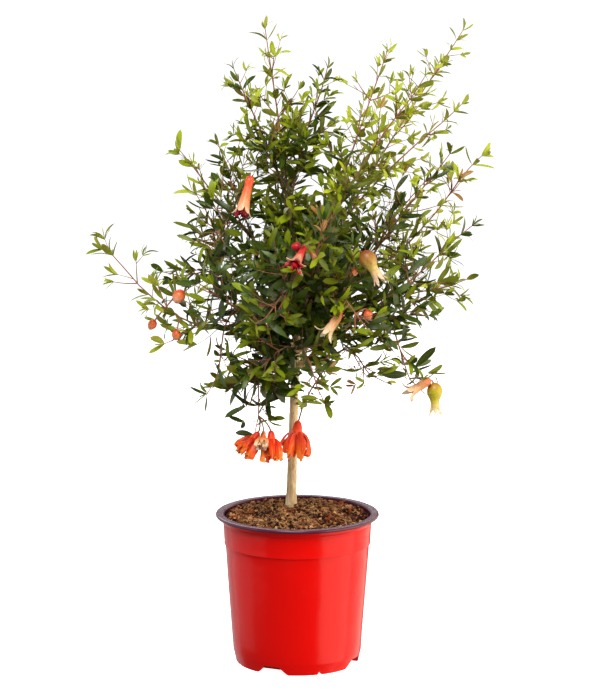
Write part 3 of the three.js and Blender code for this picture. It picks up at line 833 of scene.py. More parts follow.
@dataclass(frozen=True)
class NurseryPot:
    """The deep-drawn pot: a collar with a step under the rolled lip, and a notched foot."""

    height: float = 176.5
    wall: float = 1.3
    lip_outer: float = 95
    lip_thickness: float = 4.2
    neck: float = 86.4
    collar: float = 85
    step: float = 83.8
    step_height: float = 140
    foot_top: float = 74.8
    foot_top_height: float = 14
    foot: float = 71.8
    foot_inner: float = 64.4
    pad_radius: float = 24
    floor_rise: float = 3.5
    floor: float = 6
    notch_count: int = 4
    notch_first: float = -114
    notch_size: Triple = (40, 18, 9.5)  # at its base, at its top, high
    small_notch: Triple = (7, 0.5, 5)
    notch_past: Pair = (4, 3)  # how far the cutters reach past the ring, out and in
    facets: int = 144
    wobble: float = 0.35  # how far the thin wall strays from round
    wave: float = 60  # and about how long its waves are
    fade: float = 30  # over how much they fade towards the foot and the lip
    crease: float = 32  # degrees past which its edges stay sharp

    def profile(self) -> list[Pair]:
        """The wall's section as radii and heights, from the middle of the underside round and back.

        Returns:
            Its points.
        """
        lip_bottom = self.height - self.lip_thickness
        outer_foot, outer_top = (self.foot_top, self.foot_top_height), (self.step, self.step_height)
        inner_top = (self.step - self.wall, self.step_height - 1)
        inner_foot = (self.foot_top - self.wall, self.foot_top_height + 1)
        return [
            (0, 0),
            (self.pad_radius, 0),
            (self.pad_radius + 1, self.floor_rise),
            (self.foot_inner, self.floor_rise),
            (self.foot_inner, 0),
            (self.foot - 0.8, 0),
            (self.foot, 0.8),
            (self.foot_top - 0.4, self.foot_top_height - 1.5),
            *self._run(outer_foot, outer_top, 9),
            (self.step + 0.1, self.step_height + 0.3),
            (self.collar + 0.1, self.step_height + 0.7),
            (self.collar + 0.25, self.step_height + 1.6),
            *self._run((self.collar + 0.1, self.step_height + 3), (self.neck - 0.2, lip_bottom - 9.4), 3),
            (self.neck - 0.3, lip_bottom - 8.2),
            (self.neck - 0.8, lip_bottom - 7.2),
            (self.neck - 0.8, lip_bottom - 6.4),
            (self.neck - 0.1, lip_bottom - 5.2),
            (self.neck + 0.4, lip_bottom - 3.6),
            (self.neck + 0.4, lip_bottom - 1.0),
            *self._lip(lip_bottom),
            (self.neck - self.wall + 1.2, self.height - 0.3),
            (self.neck - self.wall, self.height - 1.8),
            (self.collar - self.wall, self.step_height + 1),
            *self._run(inner_top, inner_foot, 9),
            (self.foot - self.wall - 1, self.floor),
            (0, self.floor),
        ]

    @staticmethod
    def _run(start: Pair, end: Pair, lengths: int) -> list[Pair]:
        """Points along a straight part of the section."""
        shares = [i / lengths for i in range(lengths + 1)]
        return [(mix(start[0], end[0], share), mix(start[1], end[1], share)) for share in shares]

    def _lip(self, bottom: float) -> list[Pair]:
        """The rolled lip: out along its underside, round its edge, and back along its top.

        Args:
            bottom: the height of its underside.

        Returns:
            The points of its section.
        """
        round_edge = (self.height - bottom) / 2
        middle = (self.lip_outer - round_edge, (self.height + bottom) / 2)
        turns = [math.radians(angle) for angle in range(-80, 101, 20)]
        ways = [(math.cos(turn), math.sin(turn)) for turn in turns]
        edge = [(middle[0] + round_edge * x, middle[1] + round_edge * y) for x, y in ways]
        return [(self.neck + 2.4, bottom + 0.2), *edge, (self.neck + 3.2, self.height - 0.25)]

    def _cutters(self) -> Object:
        """The notches as prisms through the foot ring, joined in one object.

        Returns:
            The object, which is cut from the shell.
        """
        out, within = self.notch_past
        bm = bmesh.new()
        for i in range(2 * self.notch_count):
            base, top, high = self.small_notch if i % 2 else self.notch_size
            turn = math.radians(self.notch_first + i * 180 / self.notch_count)
            cube = bmesh.ops.create_cube(bm, size=1.0)["verts"]
            for vert in cube:
                wide = base if vert.co.z < 0 else top
                reach = self.foot_top + out if vert.co.x > 0 else self.foot_inner - within
                vert.co = Vector((reach, wide * vert.co.y, -1 if vert.co.z < 0 else high))
            bmesh.ops.rotate(bm, verts=cube, cent=(0, 0, 0), matrix=Matrix.Rotation(turn, 3, "Z"))
        bmesh.ops.recalc_face_normals(bm, faces=bm.faces[:])
        cutters = bpy.data.objects.new("notch_cutters", mesh_of(bm, "notch_cutters"))
        bpy.context.scene.collection.objects.link(cutters)
        return cutters

    def _stray(self, point: Vector) -> float:
        """How far the wall stands out at a point: nothing at the foot and at the lip.

        Args:
            point: the point on the wall.

        Returns:
            The distance.
        """
        free = min(point.z / self.fade, 1) * min(max(self.height - 6 - point.z, 0) / self.fade, 1)
        soft = noise.noise(Vector((point.x, point.y, point.z / 1.5)) / self.wave)
        return self.wobble * free * 2 * soft

    def build(self) -> None:
        """Models the shell, cuts its notches, and gives its lip and inside their own plastic."""
        bm = spun(self.profile(), self.facets)
        for vert in bm.verts:
            if vert.co.xy.length > self.foot:
                vert.co.xy += vert.co.xy.normalized() * self._stray(vert.co)
        lip_bottom = self.height - self.lip_thickness
        for face in bm.faces:
            middle = face.calc_center_median()
            inside = face.normal.xy.dot(middle.xy) < 0 and middle.z > self.floor_rise + 0.5
            face.material_index = int(middle.z > lip_bottom - 0.1 or inside)
        mesh = mesh_of(bm, "pot_shell")
        cutters = self._cutters()
        mesh = modified(mesh, "BOOLEAN", object=cutters, operation="DIFFERENCE", solver="EXACT")
        bpy.data.objects.remove(cutters)
        mesh.shade_smooth()
        mesh.set_sharp_from_angle(angle=math.radians(self.crease))
        dressed("pot_shell", mesh, [POT_RED.made(), POT_PLUM.made()], ["pot"])


@dataclass(frozen=True)
class PottingSoil:
    """The bed of peat, and the crumbs and fibres that lie on it."""

    pot: NurseryPot
    edge: float = 171.5
    crown: float = 179.5
    seat: float = 15
    swell: float = 46
    swell_share: float = 0.62
    relief: float = 3.9
    crumbs: int = 6000
    crumb_kinds: int = 8
    crumb_size: Pair = (0.7, 1.6)  # the least, and how much more the largest are
    fibres: int = 2200
    fibre_length: Pair = (2.5, 7)
    fibre_radii: tuple[float, ...] = (0.3, 0.5, 0.42, 0.2)
    patch: float = 26  # about how far across a patch of one shade is
    mound: float = 13  # and a low mound
    clod: float = 4.2  # and a clod
    facets: int = 180
    rings: int = 70
    seed: int = 7
    shades: tuple[Peat, ...] = field(
        default=(
            Peat("peat_crumb_dark", "120604", "2e140a", "4a2614"),
            Peat("peat_crumb_brown", "421e0e", "6c381c", "965832"),
            Peat("peat_crumb_rust", "66280e", "92441e", "b06838"),
            Peat("peat_crumb_tan", "9c6238", "d0965f", "fad6aa"),
        )
    )
    shade_shares: tuple[float, ...] = (0.45, 0.26, 0.13, 0.16)

    @property
    def rim(self) -> float:
        """The bed's radius where it meets the pot's wall."""
        return self.pot.collar - self.pot.wall - GAP

    def height_at(self, reach: float) -> float:
        """The height of the smooth bed at a reach from the pot's axis."""
        middle = mix(self.edge, self.crown, self.swell_share)
        return float(np.interp(reach, (self.seat, self.swell, self.rim), (self.crown, middle, self.edge)))

    def surface(self, x: float, y: float) -> float:
        """The height of the crumbled surface over a point.

        Args:
            x: towards the crown's right.
            y: towards its back.

        Returns:
            The height.
        """
        mounds = noise.fractal(Vector((x / self.mound, y / self.mound, 3.0)), 0.8, 2.2, 4)
        clods = noise.noise(Vector((x / self.clod, y / self.clod, 9.0)))
        return self.height_at(math.hypot(x, y)) + self.relief * (0.9 * mounds + 0.5 * clods)

    def bed(self) -> None:
        """Models the bed: a turned block whose top is crumbled."""
        pot = self.pot
        clear = GAP + pot.wall
        reaches = [self.rim * (1 - ring / self.rings) for ring in range(self.rings + 1)]
        profile = [
            (0, pot.floor + GAP),
            (pot.foot - clear - 1.2, pot.floor + GAP),
            (pot.foot_top - clear, pot.foot_top_height + 1),
            (pot.step - clear, pot.step_height - 1),
            *((reach, self.height_at(reach)) for reach in reaches),
        ]
        bm = spun(profile, self.facets)
        for vert in bm.verts:
            if vert.co.z > self.edge - 0.01 and vert.co.xy.length < self.rim - 0.3:
                vert.co.z = self.surface(vert.co.x, vert.co.y)
        dressed("soil_bed", mesh_of(bm, "soil_bed", SMOOTH), [PEAT_BED.made()], ["soil"])

    def _lumps(self, count: int) -> list[Template]:
        """Rough crumbs of a radius of about 1, each broken its own way.

        Args:
            count: how many kinds.

        Returns:
            Their templates.
        """
        lumps = []
        for kind in range(count):
            bm = bmesh.new()
            bmesh.ops.create_icosphere(bm, subdivisions=1, radius=1.0)
            for vert in bm.verts:
                vert.co *= 1 + 0.9 * noise.noise(vert.co * 1.7 + Vector((kind * 5.0, 0, 0)))
            lumps.append(Template.of(bm))
        return lumps

    def _spot(self, rng: np.random.Generator, clear: float, layer: float) -> Pair:
        """A place on the bed, drawn again until it falls in a patch of its own shade.

        Args:
            rng: the draws.
            clear: how far it keeps from the bed's rim.
            layer: which pattern of patches it goes by.

        Returns:
            Its x and y.
        """
        for _ in range(6):
            reach = (self.rim - clear) * math.sqrt(rng.uniform(0.004, 1))
            turn = rng.uniform(0, math.tau)
            x, y = reach * math.cos(turn), reach * math.sin(turn)
            if noise.noise(Vector((x / self.patch, y / self.patch, layer))) > rng.uniform(-0.4, 0.3):
                break
        return x, y

    def scatter(self) -> None:
        """Strews crumbs over the bed, each shade in a piece of its own."""
        rng = np.random.default_rng(self.seed)
        lumps = self._lumps(self.crumb_kinds)
        least, more = self.crumb_size
        for layer, (shade, share) in enumerate(zip(self.shades, self.shade_shares, strict=True)):
            copies = Copies()
            for _ in range(int(self.crumbs * share)):
                x, y = self._spot(rng, 3.0, 9.0 * layer)
                size = least + more * rng.uniform() ** 1.7
                spot = np.array((x, y, self.surface(x, y) + size * 0.25))
                lump = lumps[rng.integers(len(lumps))]
                turned, _ = np.linalg.qr(rng.normal(size=(3, 3)))
                stretched = lump.points * rng.uniform(0.35, 1.5, 3) * size
                copies.add(lump, stretched @ (turned * np.sign(np.linalg.det(turned))).T + spot)
            dressed(shade.name, copies.mesh(shade.name, crease=25), [shade.made()])

    def strew_fibres(self) -> None:
        """Lays short bent fibres of moss and root on the bed."""
        rng = np.random.default_rng(self.seed + 1)
        tube = tube_template(3, 3)
        copies = Copies()
        for _ in range(self.fibres):
            x, y = self._spot(rng, 8.0, 50.0)
            heading = rng.uniform(0, math.tau)
            length = rng.uniform(*self.fibre_length)
            start = np.array((x, y, self.surface(x, y) + rng.uniform(0.4, 2.2)))
            along = np.array((math.cos(heading), math.sin(heading), rng.uniform(-0.25, 0.4)))
            middle = start + along * length / 2 + rng.normal(0, 1.8, 3) + UP * 1.2
            joints = sampled(bezier(start, middle, start + along * length), 3)
            copies.add(tube, carried(tube, joints, np.array(self.fibre_radii)))
        finish = Skin("peat_fibre", "d09a60", "2e160a", blotch=9.0, roughness=0.8)
        dressed("soil_fibres", copies.mesh("soil_fibres", crease=60), [finish.made()])

    def build(self) -> None:
        """Makes the bed and all that lies on it."""
        self.bed()
        self.scatter()
        self.strew_fibres()


# ---------------------------------------------------------------- trunk and boughs


@dataclass(frozen=True)
class Bough:
    """One limb: it leaves the trunk at `start` high and ends at a tip given by polar places."""

    name: str
    start: float
    bearing: float
    reach: float
    height: float
    bow: float


BOUGHS = (
    Bough("bough_leader", 436, 150, 10, 540, 0),
    Bough("bough_front_high", 418, -50, 48, 506, -8),
    Bough("bough_back_high", 430, 34, 66, 516, -12),
    Bough("bough_right", 396, -8, 72, 456, -10),
    Bough("bough_right_low", 366, -36, 76, 406, -3),
    Bough("bough_back_right", 404, 52, 76, 440, -6),
    Bough("bough_front", 388, -80, 60, 438, -6),
    Bough("bough_front_left", 374, -142, 66, 412, -5),
    Bough("bough_left_high", 424, 182, 52, 500, -10),
    Bough("bough_back_left", 386, 140, 70, 432, -6),
    Bough("bough_back", 410, 94, 70, 460, -8),
    Bough("bough_low_front", 358, -92, 42, 376, 2),
    Bough("bough_low_left", 338, -150, 38, 350, 4),
    Bough("bough_low_right", 346, -14, 40, 362, 2),
    Bough("bough_low_back", 352, 82, 46, 364, 2),
)


@dataclass(frozen=True)
class Limbs:
    """The trunk and its boughs, fused under one bark with its relief."""

    foot_height: float = 179.8
    top: float = 448
    foot: Pair = (-7.4, 12)
    lean: Pair = (-4.4, 10)
    bend: Pair = (-3.6, 7)
    fork: Pair = (3, 7)
    foot_radius: float = 6.1
    fork_radius: float = 3.8
    flare: float = 1.4
    flare_height: float = 9
    bough_base: float = 2.9
    bough_tip: float = 2.0
    collar: float = 1.5  # how much a bough swells where it leaves the trunk
    collar_length: float = 7
    sides: int = 20
    trunk_rings: int = 90
    bough_rings: int = 24
    voxel: float = 0.7
    knots: int = 9
    knots_top: float = 0.62  # share of the trunk that they stand on
    knot_size: Pair = (1.5, 2.4)
    relief: float = 0.32
    fissure: Pair = (1.3, 9)  # about how wide and how long one is
    bump: float = 5

    @property
    def trunk(self) -> Curve:
        """The trunk's line from the soil to the fork.

        Returns:
            The curve.
        """
        places = (self.foot, self.lean, self.bend, self.fork)
        heights = np.linspace(self.foot_height, self.top, len(places))
        return bezier(*np.column_stack((places, heights)))

    def bough(self, bough: Bough) -> Curve:
        """A bough's line from the trunk's axis to its tip."""
        share = (bough.start - self.foot_height) / (self.top - self.foot_height)
        return bowed(self.trunk(share), polar(bough.bearing, bough.reach, bough.height), bough.bow)

    def _trunk_radius(self, share: float) -> float:
        """The trunk's radius at a share of its height, with the flare at its foot."""
        flare = self.flare * math.exp(-share * (self.top - self.foot_height) / self.flare_height)
        return mix(self.foot_radius, self.fork_radius, share) + flare

    def _knots(self, copies: Copies) -> None:
        """Adds the low knots that rubbed-off side shoots leave along the bare trunk.

        Args:
            copies: what they are joined with.
        """
        bm = bmesh.new()
        bmesh.ops.create_icosphere(bm, subdivisions=2, radius=1.0)
        ball = Template.of(bm)
        draw = Draws(5)
        for knot in range(self.knots):
            share = (knot + draw()) / self.knots * self.knots_top
            side = branch_off(way_of(self.trunk, share), 90, knot * 2.4 + draw())
            size = draw.within(*self.knot_size)
            spot = self.trunk(share) + side * (self._trunk_radius(share) - size * 0.45)
            copies.add(ball, ball.points * size * (1, 1, 1.5) + spot)

    def _roughened(self, mesh: Mesh) -> None:
        """Moves the fused skin in and out by the bark's long fissures and low bumps.

        Args:
            mesh: the skin.
        """
        places = np.empty(len(mesh.vertices) * 3)
        normals = np.empty(len(mesh.vertices) * 3)
        mesh.vertices.foreach_get("co", places)
        mesh.vertices.foreach_get("normal", normals)
        places, normals = places.reshape(-1, 3), normals.reshape(-1, 3)
        wide, long = self.fissure
        for row, (x, y, z) in enumerate(places / MM):
            fissure = noise.noise(Vector((x / wide, y / wide, z / long)))
            bump = noise.noise(Vector((x, y, z)) / self.bump)
            places[row] += normals[row] * (self.relief * (0.6 * fissure + 0.7 * bump) * MM)
        mesh.vertices.foreach_set("co", places.ravel())
        mesh.update()

    def build(self) -> None:
        """Models the limbs, fuses them and gives the skin its relief."""
        copies = Copies()
        tube = tube_template(self.sides, self.trunk_rings)
        shares = np.linspace(0, 1, self.trunk_rings + 1)
        radii = np.array([self._trunk_radius(share) for share in shares])
        copies.add(tube, carried(tube, sampled(self.trunk, self.trunk_rings), radii))
        tube = tube_template(self.sides, self.bough_rings)
        shares = np.linspace(0, 1, self.bough_rings + 1)
        for bough in BOUGHS:
            joints = sampled(self.bough(bough), self.bough_rings)
            along = shares * length_of(joints)
            swell = self.collar * np.exp(-np.maximum(along - self.fork_radius, 0) / self.collar_length)
            radii = self.bough_base + (self.bough_tip - self.bough_base) * shares + swell
            copies.add(tube, carried(tube, joints, radii))
        self._knots(copies)
        mesh = modified(copies.mesh("bark", SMOOTH), "REMESH", mode="VOXEL", voxel_size=self.voxel * MM)
        self._roughened(mesh)
        mesh.shade_smooth()
        dressed("bark", mesh, [TRUNK_BARK.made()], ["trunk", *(b.name for b in BOUGHS)])


# ---------------------------------------------------------------- what the crown grows from


@dataclass(frozen=True)
class Mass:
    """One mass of foliage: its bough, its furthest tip, and how bright its leaves are, which is partly
    painted shade for masses that sit low or deep in the crown.

    A positive bow lifts the stem's middle, `spread` is the length of its longest twigs, and `seed`
    starts its row of draws.
    """

    name: str
    bough: str
    bearing: float
    reach: float
    height: float
    bow: float
    spread: float
    seed: int
    # how bright its leaves are dealt; the low tones are partly painted shade
    tone: float
    full: float  # how much fuller of leaves it is than its place in the crown makes it
    leaf: float  # how much larger its leaves are
    short: float = 0.0  # how far before its furthest tip its last leaf ends

    @property
    def tip(self) -> Array:
        """The furthest tip."""
        return polar(self.bearing, self.reach, self.height)


MASSES = (
    Mass("mass_top_leader", "bough_leader", 164, 40, 750, 0, 36, 11, 0.68, -0.2, 1.1),
    Mass("mass_top_left", "bough_leader", 190, 78, 704, -8, 36, 12, 0.62, -0.12, 1.05),
    Mass("mass_top_right", "bough_leader", 0, 38, 706, -6, 38, 13, 0.66, 0.02, 1.05),
    Mass("mass_high_front", "bough_front_high", -24, 164, 700, 0, 46, 21, 0.64, -0.2, 1),
    Mass("mass_high_middle", "bough_front_high", -22, 114, 728, -4, 36, 22, 0.64, -0.28, 1),
    Mass("mass_high_right", "bough_back_high", 17, 208, 744, -6, 44, 31, 0.66, -0.12, 1),
    Mass("mass_high_back", "bough_back_high", 25, 224, 654, -6, 44, 32, 0.55, -0.2, 1),
    Mass("mass_right_tip", "bough_right", -4, 220, 604, -22, 44, 41, 0.6, -0.24, 1.05),
    Mass("mass_right_upper", "bough_right", -20, 190, 612, 4, 44, 42, 0.5, -0.1, 1.05),
    Mass("mass_right_lower", "bough_right_low", -19, 219, 530, -6, 46, 51, 0.42, 0.05, 1),
    Mass("mass_right_out", "bough_right_low", -5, 208, 458, 6, 46, 52, 0.4, 0.0, 1),
    Mass("mass_right_hang", "bough_right_low", -34, 184, 326, 34, 44, 53, 0.34, 0.5, 1),
    Mass("mass_back_right", "bough_back_right", 38, 204, 560, -6, 50, 61, 0.4, -0.05, 1),
    Mass("mass_back_right_low", "bough_back_right", 40, 190, 414, 12, 48, 62, 0.3, -0.05, 1),
    Mass("mass_front_up", "bough_front", -80, 176, 548, -4, 54, 71, 0.3, 0.1, 1.1),
    Mass("mass_front_right", "bough_front", -54, 178, 400, 14, 52, 72, 0.28, -0.2, 1.1),
    Mass("mass_front_left", "bough_front", -108, 174, 420, 14, 52, 73, 0.2, 0, 1.1),
    Mass("mass_left_tip", "bough_front_left", -166, 252, 504, -46, 42, 81, 0.6, 0.1, 1.1, short=14),
    Mass("mass_left_hang", "bough_front_left", -146, 132, 316, 26, 44, 82, 0.2, -0.5, 1.2),
    Mass("mass_left_front", "bough_front_left", -132, 176, 470, -4, 48, 83, 0.14, -0.36, 1.25),
    Mass("mass_left_high", "bough_left_high", -172, 144, 612, -8, 40, 91, 0.42, -0.7, 1.15),
    Mass("mass_left_upper", "bough_left_high", 158, 104, 616, -4, 40, 92, 0.48, -0.45, 1),
    Mass("mass_left_middle", "bough_left_high", -156, 142, 500, 12, 46, 93, 0.2, -0.6, 1.2),
    Mass("mass_left_dark", "bough_back_left", 167, 176, 456, 6, 48, 101, 0.18, -0.42, 1.25),
    Mass("mass_back_left", "bough_back_left", 134, 182, 544, -8, 50, 102, 0.35, -0.2, 1),
    Mass("mass_back_up", "bough_back", 96, 178, 596, -6, 52, 111, 0.4, -0.05, 1),
    Mass("mass_back_low", "bough_back", 84, 184, 436, 12, 50, 112, 0.28, -0.05, 1),
    Mass("mass_low_front", "bough_low_front", -74, 132, 318, 14, 46, 151, 0.22, -0.2, 1.1),
    Mass("mass_low_front_left", "bough_low_front", -122, 126, 352, 8, 44, 152, 0.22, -0.45, 1.1),
    Mass("mass_low_flowers", "bough_low_left", -134, 76, 262, 22, 36, 121, 0.22, 0.75, 1.15),
    Mass("mass_low_left", "bough_low_left", -172, 112, 322, 10, 40, 122, 0.25, -0.5, 1.1),
    Mass("mass_low_right", "bough_low_right", -16, 122, 328, 14, 44, 131, 0.35, -0.4, 1),
    Mass("mass_low_back", "bough_low_back", 84, 132, 330, 12, 46, 142, 0.25, -0.05, 1),
)


def owner_of(name: str) -> int:
    """The number that a mass goes by, which starts at 1."""
    return 1 + [mass.name for mass in MASSES].index(name)


class Kind(Enum):
    """The kinds of blossom and fruit: length and greatest radius."""

    TUBE = (52, 10.5)
    OPEN = (40, 14)
    SPENT = (43, 10)
    FRUIT = (42, 9.8)
    BUD = (13, 4.4)

    @property
    def length(self) -> float:
        """How long it is from its stalk to its mouth."""
        return self.value[0]

    @property
    def radius(self) -> float:
        """Its greatest radius."""
        return self.value[1]


@dataclass(frozen=True)
class Bloom:
    """One flower, fruit or bud: the point of its stalk and the way that its mouth faces."""

    kind: Kind
    mass: str
    spot: Triple
    facing: Triple
    size: float = 1.0
    ripe: bool = False
    flare: float = 0.0  # degrees that its lobes bend out by, over what its kind has

    @property
    def start(self) -> Array:
        """The point of its stalk."""
        return np.array(self.spot, float)

    @property
    def way(self) -> Array:
        """The unit vector that its mouth faces along."""
        return unit(np.array(self.facing, float))

    @property
    def end(self) -> Array:
        """The point of its mouth."""
        return self.start + self.way * self.kind.length * self.size


BLOOMS = (
    Bloom(Kind.TUBE, "mass_left_middle", (-52, -78, 576), (-0.24, -0.3, -1), 0.9),
    Bloom(Kind.TUBE, "mass_front_left", (9, -122, 505), (-0.45, -0.95, -0.72), 0.74, flare=40, ripe=True),
    Bloom(Kind.TUBE, "mass_front_left", (13, -121, 504), (0.5, -0.35, -1), 0.36, flare=20, ripe=True),
    Bloom(Kind.BUD, "mass_front_left", (5, -121, 503), (-1, -0.3, 0.1), 0.95, ripe=True),
    Bloom(Kind.FRUIT, "mass_front_right", (72.5, -132, 499), (0.58, -0.15, -1), 0.94, ripe=True),
    Bloom(Kind.FRUIT, "mass_right_hang", (154, -84, 344), (0.03, -0.05, -1), 0.87),
    Bloom(Kind.SPENT, "mass_right_hang", (149, -90, 349), (-0.9, -0.25, -0.5), 0.86),
    Bloom(Kind.SPENT, "mass_front_right", (48, -112, 428), (-0.65, -0.2, -0.9), 0.85),
    Bloom(Kind.SPENT, "mass_low_flowers", (-38, -56, 283), (-0.15, -0.8, -1), 0.55, flare=20),
    Bloom(Kind.OPEN, "mass_low_flowers", (-44, -50, 281), (-0.65, -0.25, -0.8), 0.76),
    Bloom(Kind.OPEN, "mass_low_flowers", (-30, -52, 283), (0.05, -0.3, -1), 0.8),
    Bloom(Kind.OPEN, "mass_low_right", (1, -26, 289), (-0.12, -0.12, -1)),
    Bloom(Kind.BUD, "mass_left_tip", (-130, -58, 446), (-0.3, -0.4, -0.6), 1.4),
    Bloom(Kind.BUD, "mass_left_tip", (-160, -66, 413), (-0.5, -0.1, -0.8)),
    Bloom(Kind.BUD, "mass_left_tip", (-135, -70, 403), (-0.15, -0.1, -1)),
    Bloom(Kind.BUD, "mass_front_right", (78, -104, 431), (0.1, -0.3, -1)),
    Bloom(Kind.BUD, "mass_front_right", (64, -110, 478), (-0.1, -0.3, -1), 0.7),
    Bloom(Kind.FRUIT, "mass_back_left", (-96, 112, 470), (-0.1, 0.25, -1), ripe=True),
    Bloom(Kind.TUBE, "mass_back_up", (12, 138, 516), (0.3, 0.35, -0.9)),
    Bloom(Kind.OPEN, "mass_back_low", (36, 128, 428), (0.2, 0.3, -0.9)),
)


class Space:
    """What every twig and leaf keeps clear of: limbs, blooms, and the space of other masses."""

    LIMB_CLEARANCE = 1.6
    MARGIN = 1.1

    def __init__(self, lines: Sequence[tuple[int, Array, float]]) -> None:
        """Takes the lines that space is measured from.

        Args:
            lines: the owner, joints and girth of each; owner 0 is the limbs, and 1 and up the masses.
        """
        ordered = sorted(lines, key=lambda line: line[0])
        self._starts = np.concatenate([joints[:-1] for _, joints, _ in ordered])
        self._spans = np.concatenate([joints[1:] - joints[:-1] for _, joints, _ in ordered])
        girths = [np.full(len(joints) - 1, girth) for _, joints, girth in ordered]
        owners = [np.full(len(joints) - 1, owner) for owner, joints, _ in ordered]
        self._girths = np.concatenate(girths)
        self._firsts = np.searchsorted(np.concatenate(owners), np.arange(ordered[-1][0] + 1))
        self._squares = (self._spans**2).sum(1)

    def distances(self, points: Array) -> Array:
        """How far each point is from each owner.

        Args:
            points: an array of points.

        Returns:
            A row for each point, with a distance to the limbs and to each mass.
        """
        rows = []
        for part in np.array_split(points, max(1, len(points) // 1500)):
            offset = part[:, None, :] - self._starts[None]
            share = np.clip((offset * self._spans).sum(2) / self._squares, 0, 1)
            away = np.linalg.norm(offset - share[:, :, None] * self._spans, axis=2) - self._girths
            rows.append(np.minimum.reduceat(away, self._firsts, axis=1))
        return np.concatenate(rows)

    def clear(self, points: Array, owner: int, girth: float, overlap: float = 0.0) -> Array:
        """Whether each point may be filled by a mass.

        Args:
            points: an array of points.
            owner: the mass.
            girth: how much room the point needs round it.
            overlap: how far it may stand in a neighbour's space.

        Returns:
            A truth value for each point.
        """
        away = self.distances(points)
        others = np.delete(away, [0, owner], axis=1).min(1)
        free = away[:, 0] >= self.LIMB_CLEARANCE + girth
        return free & (others >= away[:, owner] + 2 * (self.MARGIN + girth) - overlap)


# ---------------------------------------------------------------- the rule that the crown grows by


@dataclass
class Shoot:
    """A stem, a twig or a sprig: its line, its rank from 0 for a stem, and how young it is."""

    line: Curve
    length: float
    rank: int
    owner: int
    youth: float
    draw: Draws
    base: float
    tip: float
    bare: float


@dataclass(frozen=True)
class Leaf:
    """One leaf: where it grows, the way that it points, and the way that its upper side faces."""

    root: Array
    way: Array
    normal: Array
    length: float
    width: float  # how much wider it is than its form
    form: int  # its place in BLADES
    tint: int  # its place among the tints
    owner: int
    reach: float  # how far it may stand in a neighbour's space


@dataclass(frozen=True)
class Growth:
    """The rule's sizes. The first block is the solid masses' own rule, and the rest refines it."""

    leaf_length: float = 40
    stem_base: float = 1.4
    stem_ring: float = 40
    twig_girth: float = 1.3
    twig_step: float = 42
    twig_nodes: int = 3
    twig_last: float = 0.84
    twig_angle: float = 50
    twig_sway: float = 24
    twig_rise: float = 0.16
    twig_tries: tuple[float, ...] = (1, 0.74, 0.5)
    twig_min: float = 11

    twig_reach: float = 14  # how far a twig grows on towards the tip of the leaf that ends the solid one
    twig_bow: float = -0.035  # how far its middle is lifted, as a share of its length
    tip_leaf: float = 14
    core: Triple = (-4, 0, 470)  # the middle of the dense crown
    core_size: Triple = (184, 180, 266)  # from there to the open rim
    core_below: float = 0.62  # the rim's distance below the middle, as a share of that above it
    core_share: float = 0.48  # share of that which is dense throughout

    # each pair is a size in the dense middle and one at the open rim
    sprig_steps: tuple[Pair, ...] = ((5.5, 24), (5.5, 20))
    sprig_chance: Pair = (0.95, 0.7)
    sprig_length: Pair = (14, 34)  # the shortest, near a tip, and the longest, near a foot
    inner_sprigs: float = 1.4  # how much longer they are in the dense middle
    sprig_first: Pair = (0.1, 0.28)  # where the first stands on a stem, and on a twig
    sprig_last: float = 0.9
    sprig_angle: Pair = (38, 66)
    sprig_rise: float = 0.14
    sprig_girth: float = 0.6
    node_steps: tuple[Pair, ...] = ((10, 20), (8, 17.5), (7.5, 14))
    leaf_size: Pair = (23, 21)
    low_leaves: float = 1.36  # how much larger the leaves are at the crown's foot
    high_leaves: float = 1.02  # and at its top
    low: float = 380  # heights that these two are reached at
    high: float = 690
    leaf_width: Pair = (0.85, 1.15)
    leaf_sway: float = 26
    leaf_twist: float = 50
    leaf_lift: float = 0.9  # how much the leaves of a hanging shoot turn up to the light
    first_pair: float = 2.5  # how far from its shoot's tip it stands
    young: float = 8  # how far from a tip the leaves are of a younger tint
    grown: float = 20  # how far from a tip they are full-grown
    young_size: float = 0.72
    cluster: Pair = (2.4, 3.6)  # most small leaves beside a pair
    cluster_size: Pair = (0.5, 0.9)
    pair_chance: float = 0.93  # that each leaf of a pair is there
    pair_angle: Pair = (32, 58)  # off the shoot, at its tip and at its foot
    overlap: Pair = (50.0, 8.0)  # how far a sprig may stand in a neighbour's space
    window: float = 90.0  # how far in front of a bloom no leaf stands
    bough_rows: int = 4  # rows of sprigs on each bough
    stalk: float = 0.95  # radius of a bloom's stalk

    # the tints, partly painted light (darker greens where shade falls in the dense middle and low down,
    # lighter ones high up and at the rim): the height that the greens brighten from, over how much, and the
    # weight of each cause
    green_foot: float = 260
    green_rise: float = 490
    greens: tuple[float, float, float, float] = (0.46, 0.84, 0.3, 0.5)  # tone, rim, height, draw
    bronze: float = 0.05  # chance of a bronze spray where the crown is open and bright

    # base radius, tip radius and bare share of the foot, by rank
    wood: tuple[Triple, ...] = ((1.35, 0.5, 0.06), (0.85, 0.42, 0.16), (0.5, 0.3, 0.3))


